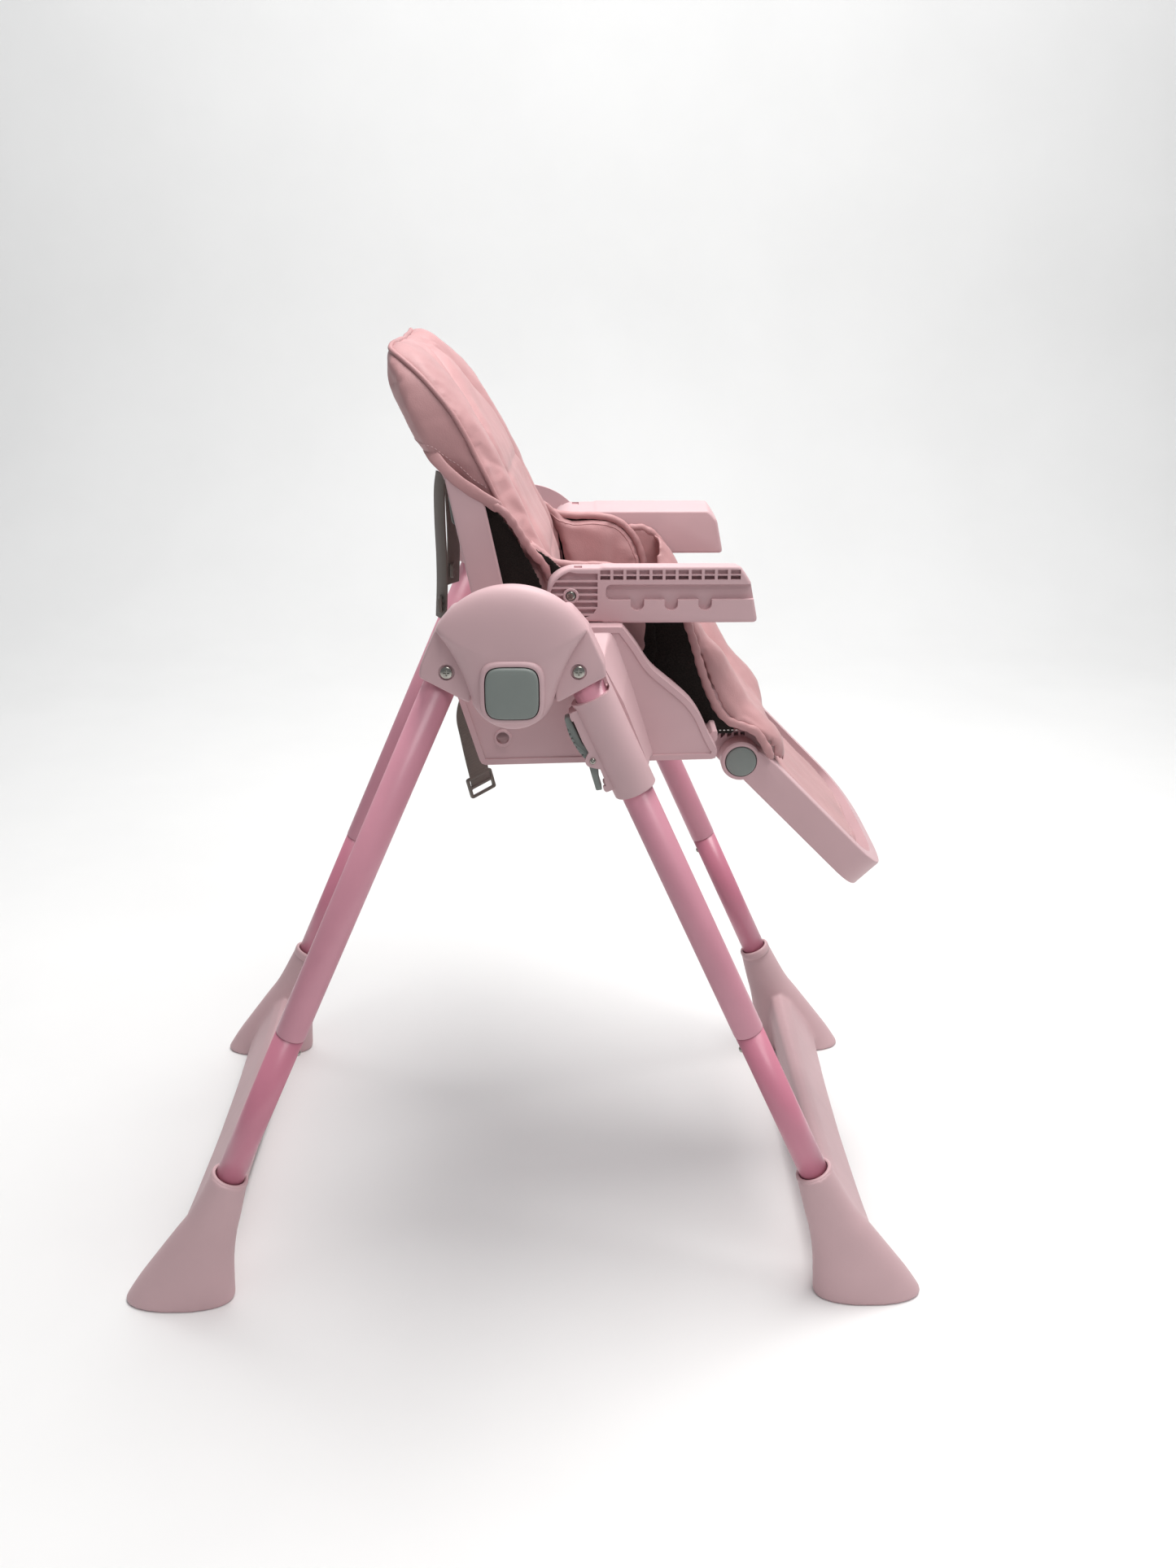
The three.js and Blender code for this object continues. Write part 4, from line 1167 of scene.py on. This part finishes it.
# ---------------------------------------------------------------- soft goods
def puffed(obj, voxel, cap, pressure=4.0):
    """Remeshes a pad and inflates it as cloth, with a limit on how far a point may move."""
    voxelled(obj, voxel)
    scene = bpy.context.scene
    start = np.array([v.co for v in obj.data.vertices])
    cloth = obj.modifiers.new("cloth", "CLOTH")
    values = cloth.settings
    values.quality = 5
    values.mass = 0.3
    values.tension_stiffness = 12
    values.compression_stiffness = 12
    values.bending_stiffness = 0.4
    values.use_pressure = True
    values.uniform_pressure_force = pressure
    values.effector_weights.gravity = 0
    for f in range(1, 21):
        scene.frame_set(f)
    settle(obj)
    scene.frame_set(1)
    moved = np.array([v.co for v in obj.data.vertices]) - start
    far = np.linalg.norm(moved, axis=1)[:, None] + 1e-12
    limited = start + moved / far * (cap * MM) * np.tanh(far / (cap * MM))
    obj.data.vertices.foreach_set("co", limited.ravel())
    subdivide = obj.modifiers.new("subdivide", "SUBSURF")
    subdivide.levels = 1
    subdivide.render_levels = 1
    return settle(obj)


def pressed(obj, lines, depth=3.0, width=4.0, facing=None):
    """Sews channels into a pad: its surface is drawn in along each line of points."""
    mesh = obj.data
    count = len(mesh.vertices)
    co = np.array([v.co for v in mesh.vertices]) / MM
    normal = np.array([v.normal for v in mesh.vertices])
    pull = np.zeros(count)
    for line in lines:
        pts = even(line, max(8, int(np.linalg.norm(np.diff(line, axis=0), axis=1).sum() / 4)))
        near = np.full(count, 1e9)
        for a, b in zip(pts, pts[1:]):
            along = b - a
            t = np.clip(((co - a) @ along) / (along @ along), 0, 1)
            near = np.minimum(near, np.linalg.norm(co - a - t[:, None] * along, axis=1))
        pull = np.maximum(pull, np.exp(-((near / width) ** 2)))
    if facing is not None:
        pull *= np.clip(normal @ np.array(facing) * 2, 0, 1)
    co -= normal * (pull * depth)[:, None]
    mesh.vertices.foreach_set("co", (co * MM).ravel())
    return obj


def wrinkled(obj, size=30.0, depth=1.2, seed=0.0):
    """Soft random dents, as in coated cloth over foam."""
    mesh = obj.data
    co = np.array([v.co for v in mesh.vertices])
    normal = np.array([v.normal for v in mesh.vertices])
    shift = Vector((seed, seed * 0.7, seed * 1.3))
    value = np.array([noise.noise(Vector(c) / (size * MM) + shift) for c in co])
    mesh.vertices.foreach_set("co", (co + normal * (value * depth * MM)[:, None]).ravel())
    return obj


def binding(name, path, r=3.2, flat=0.75, hint=(0, 1, 0.01), pucker=0.35, pitch=9.0):
    """A rolled edge of gathered fabric along a path: an oval section with small puckers."""
    total = np.linalg.norm(np.diff(np.array(path, float), axis=0), axis=1).sum()
    count = max(16, int(total / 1.8))
    pts = even(path, count)
    side, up = frames_along(pts, hint)[1:]
    turn = [2 * math.pi * k / 16 for k in range(16)]
    rings = []
    for i, p in enumerate(pts):
        far = i / (count - 1) * total
        swell = 1 + 0.10 * pucker * (
            math.sin(far / pitch * 2 * math.pi) + 0.6 * math.sin(far / pitch * 3.3 + 1)
        )
        size = r * swell * min(1, 0.45 + min(i, count - 1 - i) * 0.25)
        rings.append([p + size * (math.cos(a) * side[i] + flat * math.sin(a) * up[i]) for a in turn])
    return new_object(name, *closed_loft(rings))


BACK_FRONT = [
    (-111, 952), (-95, 941), (-68, 914), (-44, 880), (-24, 845), (-7, 808), (11, 772), (26, 744),
    (34, 702), (38, 655), (39, 626),
]
BACK_REAR = [
    (19, 626), (17, 642), (-5, 732), (-19, 803), (-26, 815), (-55, 839), (-70, 843), (-96, 882),
    (-112, 914), (-121, 938), (-119, 948),
]
BACK_HALF = 148.0


def back_arch(grow=0.0):
    """The backrest's outline seen from the front: (Y, Z) from one lower corner over the top to the other."""
    half, top, corner = BACK_HALF + grow, 956 + grow, 92.0
    waist = [(138.0 + grow, 600.0), (138.0 + grow, 742.0), (142.5 + grow, 765.0), (half, 800.0)]
    pts = [(-y, z) for y, z in waist]
    for k in range(61):
        a = math.pi - k / 60 * math.pi
        c, s = math.cos(a), math.sin(a)
        y = (half - corner) * math.copysign(1, c) * min(1, abs(c) * 4)
        y += corner * math.copysign(abs(c) ** 0.85, c)
        pts.append((y, top - corner + corner * s**0.85))
    return pts + list(reversed(waist))


def back_front_x(z):
    """How far forward the backrest's cover reaches at a height."""
    line = curve_through(BACK_FRONT, 80)
    return float(np.interp(z, line[::-1, 1], line[::-1, 0]))


def back_cushion():
    front = [tuple(q) for q in curve_through(BACK_FRONT, 60)]
    rear = [
        tuple(q) for q in curve_through(BACK_REAR[:5], 20)
    ] + [tuple(q) for q in curve_through(BACK_REAR[5:], 26)]
    body = prism("back_cover", front + rear, -BACK_HALF, BACK_HALF)
    filling = [
        (22, 640), (8, 640), (-17, 731), (-33, 803), (-44, 822), (-60, 838), (-50, 862), (-34, 830),
        (-10, 780),
    ]
    combine(body, prism("filling", filling, -142, 142), how="UNION")
    arch = back_arch()
    verts = [(x, y, z) for x in (-220, 120) for y, z in arch]
    count = len(arch)
    faces = [tuple(range(count)), tuple(reversed(range(count, 2 * count)))]
    faces += [(i, (i + 1) % count, count + (i + 1) % count, count + i) for i in range(count)]
    combine(body, new_object("arch", verts, faces), how="INTERSECT")
    voxelled(body, 4.5, 6)
    open_side = [
        (-30, 806), (-16, 796), (-4, 779), (8, 761), (20, 745), (25, 730), (30, 640), (-10, 590),
        (-70, 700),
    ]
    for low, high in ((-170, -137.5), (137.5, 170)):
        combine(body, prism("side_room", open_side, low, high))
    puffed(body, 4.6, 8)
    combine(body, prism("spine_room", [(-70, 818), (-113, 929), (-98, 933), (-53, 824)], -119.5, 119.5))
    channels = []
    for side in (-1, 1):
        bolster = [
            (46, 944), (64, 915), (78, 880), (82, 850), (86, 800), (98, 750), (112, 700), (118, 640)
        ]
        inner = [(20, 934), (40, 912), (60, 888), (76, 868)]
        for line in (bolster, inner):
            channels.append([(back_front_x(z) + 4, side * y, z) for y, z in line])
    pressed(body, channels, 7.0, 12.0, (0.8, 0, 0.6))
    pressed(body, channels, 4.0, 3.4, (0.8, 0, 0.6))
    across = [[(back_front_x(z) + 4, y, z) for y in (-78, -40, 0, 40, 78)] for z in (822, 742, 690)]
    pressed(body, across, 3.0, 5.0, (0.8, 0, 0.6))
    crease = [
        [(-84, side * 156, 905), (-72, side * 156, 896), (-62, side * 156, 900)] for side in (-1, 1)
    ]
    pressed(body, crease, 3.6, 5.0, None)
    pressed(body, [seam_route()], 2.2, 3.2, None)
    wrinkled(body, 42, 2.2, 3.0)
    wrinkled(body, 14, 0.5, 9.0)
    dress(body, "cover", "backrest", "back_cushion")
    return body


def seam_route():
    """The seam between front panel and gusset: along the front edge, then back over the crown."""
    arch = [(y, z) for y, z in back_arch(1) if z > 790]
    low = [(144.0, 768.0), (148.5, 785.0)]
    arch = [(-y, z) for y, z in low] + arch + [(y, z) for y, z in reversed(low)]
    edge = []
    for y, z in arch:
        back = np.clip((z - 880) / 66, 0, 1)
        edge.append((back_front_x(min(z, 946)) - 4 - 13 * back * back, y, z))
    return even(edge, 150)


def back_trim(body):
    """Piping round the front edge, the hem's stitches, bound lower edges, a dark tube of painted shade in
    each harness slot and the slots' welts.
    """
    route = snapped(seam_route(), body, 1.4)
    kernel = np.ones(5) / 5
    padded_route = np.vstack([route[:1]] * 2 + [route] + [route[-1:]] * 2)
    route = np.stack([np.convolve(padded_route[:, k], kernel, "valid") for k in range(3)], axis=1)
    dress(tube_along("back_piping", route, 2.3, 12, (0.7, 0, 0.7)), "piping", "backrest")
    for side, label in ((-1, "right"), (1, "left")):
        y = side * (BACK_HALF + 1.5)
        hem = [(-24, y, 817), (-40, y, 828), (-56, y, 841), (-73, y, 854)]
        hem += [(-84, side * 140, 858), (-96, side * 110, 862), (-104, side * 60, 864), (-107, 0, 865)]
        line = snapped(curve_through(hem, 60), body, 0.2)
        dress(stitches(f"hem_stitch_{label}", line, 4.0, 2.7, 0.5, (1, 0, 0.2)), "thread", "backrest")
        band = [
            (-83, side * 96, 857), (-80, side * 128, 855), (-72, side * 143, 847), (-57, y, 832),
            (-40, y, 819),
        ]
        band += [(-24, y, 809), (-12, y, 801)]
        hem_band = binding(f"hem_band_{label}", curve_through(band, 60), 5.6, 0.32, (0, 1, 0), 0.4, 23)
        lower = [
            (-20, 149.5, 806), (-8, 149.5, 797), (2, 147, 782), (9, 144, 770), (18, 141.5, 757),
            (27, 138, 746),
        ]
        lower = [(x, side * y0, z) for x, y0, z in lower + [(34, 135, 728), (37, 133, 700)]]
        bound = binding(f"back_binding_{label}", curve_through(lower, 80), 4.0, 0.7, (0, 1, 0), 0.9, 11)
        for piece in (hem_band, bound):
            dress(piece, "cover", "backrest")
        slot = [
            (back_front_x(z) + 1, side * yy, z) for yy, z in ((70, 868), (76, 860), (81, 850), (85, 839))
        ]
        line = snapped(curve_through(slot, 24), body, 0.4)
        # The dark tube along each harness slot is painted shade standing in for the slot's opening.
        dress(tube_along(f"harness_slot_{label}", line, 2.6, 10, (1, 0, 0.2)), "dark", "backrest")
        for shift, tag in ((3.6, "inner"), (-3.6, "outer")):
            welt = snapped(curve_through([(x, yy - side * shift, z) for x, yy, z in slot], 24), body, 0.5)
            dress(
                tube_along(f"slot_welt_{tag}_{label}", welt, 1.7, 10, (1, 0, 0.2)), "piping", "backrest"
            )


WING_TOP = [
    (10, 766), (30, 750.5), (54, 745.5), (80, 745), (101, 741), (116, 731), (128, 714), (135, 691),
    (138, 664), (133, 642),
]
WING_LOW = [(120, 624), (62, 620), (47, 642), (45, 660), (39, 702), (28, 744)]


def wing(name):
    """The soft side of the seat, inside the armrest: puffed towards the child, flat outside."""
    top = [tuple(q) for q in curve_through(WING_TOP, 60)]
    body = prism(name, inset(top + WING_LOW, 2.0), WING_Y[0] + 1.5, WING_Y[1] - 2.5)
    bevel(body, 2.5, 2, 50, now=True)
    puffed(body, 4.2, 4.5)
    crease = [[(100, WING_Y[0], 738), (98, WING_Y[0], 700), (96, WING_Y[0], 650)]]
    pressed(body, crease, 1.6, 6.0, (0, -1, 0))
    return wrinkled(body, 26, 1.4, 5.0)


def lining_panel(name, outline, y0, y1, seed):
    """A sheet of fabric with soft dents, between two depths."""
    return wrinkled(voxelled(prism(name, outline, *sorted((y0, y1))), 2.2), 34, 1.0, seed)


def wings():
    for side, label in ((1, "left"), (-1, "right")):
        pad = wing(f"wing_pad_{label}")
        top = curve_through(WING_TOP, 90)
        y = WING_Y[0] + 6.0
        edge = binding(f"wing_binding_{label}", [(a, y, b) for a, b in top], 4.0, 0.9, (0, 1, 0), 0.4, 13)
        seam = inset([tuple(q) for q in top] + WING_LOW, 5.5)[:88]
        seam_line = snapped([(a, WING_Y[0] - 4, b) for a, b in seam], pad, -0.2)
        piping = tube_along(f"wing_piping_{label}", seam_line, 0.8, 8, (0, 1, 0))
        outer = inset([tuple(q) for q in curve_through(WING_TOP, 40)] + WING_LOW, 3.5)
        felt_side = lining_panel(f"wing_lining_{label}", outer, WING_Y[1] - 1.2, WING_Y[1] + 0.8, 2.0)
        if side < 0:
            for piece in (pad, edge, piping, felt_side):
                flipped(piece, y=-1)
        dress(pad, "cover", "seat", f"seat_wing_{label}")
        dress(edge, "cover", "seat")
        dress(piping, "piping", "seat")
        dress(felt_side, "lining", "seat")
        gusset = [
            (-33, 812), (-18, 802), (-5, 784), (5, 768), (13, 753), (22, 736), (28, 715), (28, 660),
            (4, 640), (-14, 700),
        ]
        back_lining = lining_panel(
            f"back_lining_{label}", gusset + [(-26, 760)], side * 141.0, side * 143.0, 4.0 + side
        )
        dress(back_lining, "lining", BACK_BEND)


def seat_pad():
    profile = [
        (49, 590), (47, 600), (50, 610), (70, 612), (100, 611), (140, 611), (160, 608), (166, 599),
        (163, 590),
    ]
    body = prism("seat_pad", [tuple(q) for q in curve_through(profile, 60, True)], -122, 122)
    bevel(body, 6, 3, 50, now=True)
    puffed(body, 4.8, 4.5)
    lines = [[(x, y, 613) for y in (-112, -50, 50, 112)] for x in (84, 126)]
    lines += [[(56, y, 613), (160, y, 611)] for y in (-66, 66)]
    pressed(body, lines, 3.0, 7.0, (0, 0, 1))
    pressed(body, lines, 2.0, 3.0, (0, 0, 1))
    wrinkled(body, 30, 1.2, 1.0)
    dress(body, "cover", "seat", "seat_cushion")


FLAP_EDGE = [
    (146, 724), (157, 709), (164, 688), (171, 666), (178, 643), (186, 621), (195, 603), (206, 591),
    (221, 585), (234, 579), (243, 566), (251, 551),
]
FLAP_FRONT = [
    (150, 727), (163, 712), (173, 690), (184, 671), (199, 656), (209, 638), (218, 622), (229, 602),
    (243, 587), (256, 573), (267, 558), (276, 542),
]
APRON = [
    (138, 613), (152, 614), (168, 615), (183, 615), (196, 611), (208, 604), (219, 594), (231, 582),
    (244, 569), (256, 556), (266, 544), (275, 533),
]


FLAP_Y = WING_Y[1] - 3.0


def apron_grid(rows, across):
    """The apron's front surface, as points down it and across it, and its back."""
    edge, front, middle = (curve_through(line, rows) for line in (FLAP_EDGE, FLAP_FRONT, APRON))
    edge = edge - (0.8, 0)
    grid = np.zeros((rows, across, 3))
    for j in range(across):
        u = -1 + 2 * j / (across - 1)
        rise = np.clip((abs(u) - 0.42) / 0.32, 0, 1)
        fold = np.clip((abs(u) - 0.78) / 0.22, 0, 1)
        ear = rise * rise * (3 - 2 * rise)
        line = middle * (1 - ear) + front * ear
        line = edge + (line - edge) * math.cos(fold * math.pi / 2)
        width = min(abs(u) / 0.78, 1) * 112 + (FLAP_Y - 112) * math.sin(fold * math.pi / 2)
        grid[:, j] = np.stack([line[:, 0], np.full(rows, math.copysign(width, u)), line[:, 1]], axis=1)
    normal = np.cross(np.gradient(grid, axis=1), np.gradient(grid, axis=0))
    normal /= np.linalg.norm(normal, axis=2)[:, :, None] + 1e-9
    if normal[rows // 2, across // 2, 0] < 0:
        normal *= -1
    thick = np.full((rows, across), 7.0)
    thick *= 1 - 0.55 * np.abs(np.linspace(-1, 1, across))[None, :] ** 6
    thick *= 1 - 0.5 * np.abs(np.linspace(-1, 1, rows))[:, None] ** 8
    tuck = np.clip((np.linspace(0, 1, rows) - 0.84) / 0.16, 0, 1)[:, None] ** 2
    grid -= normal * (7 * tuck)[:, :, None]
    grid[:, :, 1] *= 1 - 0.07 * tuck
    return grid, grid - normal * thick[:, :, None]


def quilt(name, front, back):
    """A closed pad between two grids of points."""
    rows, across = front.shape[:2]
    verts = np.concatenate([front.reshape(-1, 3), back.reshape(-1, 3)])

    def at(i, j, layer):
        return (layer * rows + i) * across + j

    faces = []
    for i in range(rows - 1):
        for j in range(across - 1):
            faces.append((at(i, j, 0), at(i, j + 1, 0), at(i + 1, j + 1, 0), at(i + 1, j, 0)))
            faces.append((at(i, j, 1), at(i + 1, j, 1), at(i + 1, j + 1, 1), at(i, j + 1, 1)))
    for i in range(rows - 1):
        for j in (0, across - 1):
            faces.append((at(i, j, 0), at(i + 1, j, 0), at(i + 1, j, 1), at(i, j, 1)))
    for j in range(across - 1):
        for i in (0, rows - 1):
            faces.append((at(i, j, 0), at(i, j, 1), at(i, j + 1, 1), at(i, j + 1, 0)))
    return new_object(name, verts, faces)


def apron():
    """The pad over the seat's front edge: low in the middle, with an ear standing up at each side."""
    body = quilt("apron", *apron_grid(60, 61))
    puffed(body, 4.0, 2.2, 2.0)
    wrinkled(body, 34, 1.8, 7.0)
    wrinkled(body, 11, 0.5, 2.0)
    dress(body, "cover", KNEE_BEND, "leg_pad")
    for side, label in ((1, "left"), (-1, "right")):
        flap_trim(side, label)


def flap_trim(side, label):
    """The rolled edge, inner panel, black lining and white stitches at one side of the apron."""
    route = [(a, side * (FLAP_Y - 0.5), b) for a, b in curve_through(FLAP_EDGE, 90)]
    route = [(116, side * (FLAP_Y - 2), 731), (133, side * FLAP_Y, 731)] + route
    edge_roll = binding(f"apron_binding_{label}", route, 4.2, 0.8, (0, 1, 0), 0.8, 12)
    dress(edge_roll, "cover", KNEE_BEND)
    cloth_edge = [tuple(q) for q in curve_through(FLAP_EDGE[:8], 40)]
    outline = cloth_edge + [
        (214, 579), (196, 577), (186, 584), (172, 606), (150, 632), (132, 645), (122, 690), (110, 731)
    ]
    outline = [(118, 731), (134, 730)] + outline
    inner_side = lining_panel(
        f"apron_side_{label}", outline, side * (FLAP_Y - 3.2), side * (FLAP_Y - 0.8), 8.0
    )
    dress(inner_side, "cover", "seat")
    felt_side = lining_panel(
        f"apron_lining_{label}", outline, side * (FLAP_Y - 0.6), side * (FLAP_Y + 1.2), 6.0
    )
    dress(felt_side, "lining", "seat")
    hem = [(188, side * (FLAP_Y + 1.7), 581.5), (216, side * (FLAP_Y + 1.7), 582)]
    dress(stitches(f"apron_stitch_{label}", hem, 3.6, 2.3, 0.45, (0, 1, 0)), "white_thread", "seat")


def footrest_pad():
    m = turned_to_footrest()
    outline = footrest_outline(38, 17.5, 60)
    body = prism("footrest_pad", outline, 4.5, 15.5, "Z", m)
    bevel(body, 3, 3, 50, now=True)
    puffed(body, 4.4, 4.0)

    def loop(edge):
        path = even([(u, v, 18.0) for u, v in footrest_outline(52, edge, 60)], 120)
        return [tuple(m @ Vector(q)) for q in path]

    facing = tuple(m.to_3x3() @ Vector((0, 0, 1)))
    pressed(body, [np.array(loop(33))], 1.6, 3.4, facing)
    wrinkled(body, 34, 1.2, 4.0)
    dress(body, "cover", "footrest", "footrest_cushion")
    for name, edge in (("outer", 33), ("inner", 41)):
        row = stitches(f"footrest_stitch_{name}", snapped(loop(edge), body, 0.1), 3.6, 2.5, 0.42, facing)
        dress(row, "thread", "footrest")


# ---------------------------------------------------------------- harness
def flat_strap(name, route, body, node, hint=(0, 1, 0)):
    path = curve_through(route, max(24, len(route) * 8))
    dress(ribbon(name, path, STRAP_WIDTH, STRAP_THICKNESS, hint), "webbing", body, node)


def slide_buckle(name, middle, width, height, tilt=Matrix.Identity(4)):
    """A rounded frame with a centre bar, standing in the Y-Z plane."""
    w, h, depth = width / 2, height / 2, 3.6
    outer = rounded([(-w, -h), (w, -h), (w, h), (-w, h)], 3, 5)
    frame_part = prism(name, outer, -depth / 2, depth / 2, "Z")
    for low, high in ((-h + 3, -1.6), (1.6, h - 3)):
        window = rounded([(-w + 3, low), (w - 3, low), (w - 3, high), (-w + 3, high)], 1.2, 3)
        combine(frame_part, prism("window", window, -depth, depth, "Z"))
    upright = Matrix(((0, 0, 1, 0), (1, 0, 0, 0), (0, 1, 0, 0), (0, 0, 0, 1)))
    frame_part.data.transform(Matrix.Translation(Vector(middle) * MM) @ tilt @ upright)
    return bevel(frame_part, 0.8, 3, 40)


def harness():
    for side, label in ((1, "left"), (-1, "right")):
        y = side * SHOULDER_Y
        route = [
            (-72, y, 824), (-74.5, y, 806), (-75, y, 775), (-74.5, y, 744), (-75, y, 715), (-77, y, 681)
        ]
        flat_strap(
            f"rear_strap_{label}", route, "backrest", f"shoulder_strap_{label}", (0.45, side * 0.89, 0)
        )
        dress(slide_buckle(f"rear_slider_{label}", (-76.5, y, 697), 30, 15), "buckle_plastic", "backrest")
        lap = [(103, 22, 621), (101, 50, 619), (100, 84, 620), (100, 108, 624), (100, 123, 632)]
        lap = [(x, side * across, z) for x, across, z in lap]
        flat_strap(f"lap_belt_{label}", lap, "seat", f"lap_strap_{label}", (1, 0, 0))
    crotch = [(122, 0, 621), (132, 0, 618.6), (142, 0, 616.4), (158, 0, 614.6)]
    flat_strap("crotch_belt", crotch, "seat", "crotch_strap")
    tail = [(-47.5, 606), (-53, 593), (-55, 578), (-52, 560), (-48, 538), (-43.5, 516), (-42, 507)]
    flat_strap("tail_belt", [(x, -SHOULDER_Y, z) for x, z in tail], "seat", "tail_strap", (0.75, 0.66, 0))
    tilt = Matrix.Rotation(math.radians(-14), 4, "Y") @ Matrix.Rotation(math.radians(-48), 4, "Z")
    dress(
        slide_buckle("tail_slider", (-42.0, -SHOULDER_Y, 506), 33, 22, tilt), "buckle_plastic", "seat",
        "tail_buckle",
    )
    at = Matrix.Translation((100, 0, 0))
    shell = rounded([(78, -22), (122, -22), (122, 22), (78, 22)], [7, 9, 9, 7], 8)
    buckle = bevel(prism("harness_clasp", shell, 614, 628, "Z"), 3.6, 4, 50, now=True)
    combine(buckle, lathe("well", [(0, 622.4), (9.6, 622.4), (9.6, 640), (0, 640)], 48, at))
    dress(bevel(buckle, 0.6, 2, 40), "grey_plastic", "seat", "harness_buckle")
    press = [(0, 625), (8.7, 625), (8.7, 628.6), (8.0, 629.6), (5, 629.9), (0, 629.4)]
    dress(lathe("clasp_button", press, 48, at), "buckle_plastic", "buckle_button", "buckle_button")


def soft_goods():
    back_trim(back_cushion())
    wings()
    seat_pad()
    apron()
    footrest_pad()
    harness()


soft_goods()


# ---------------------------------------------------------------- CAD nodes that stay
def keep_cad():
    """CAD nodes whose shape is right get a rounded edge and the finish of their slot."""
    slot_of = {s["node"]: s["material_slot"] for s in frame["record"]["subparts"]}
    for name, obj in frame["nodes"].items():
        if obj.hide_render:
            continue
        obj.data.materials.clear()
        obj.data.materials.append(MATERIALS[slot_of[name]])
        obj.data.polygons.foreach_set("use_smooth", [True] * len(obj.data.polygons))
        weld = obj.modifiers.new("weld", "WELD")
        weld.merge_threshold = 0.00002
        bevel(obj, 0.7, 2, 35)


keep_cad()
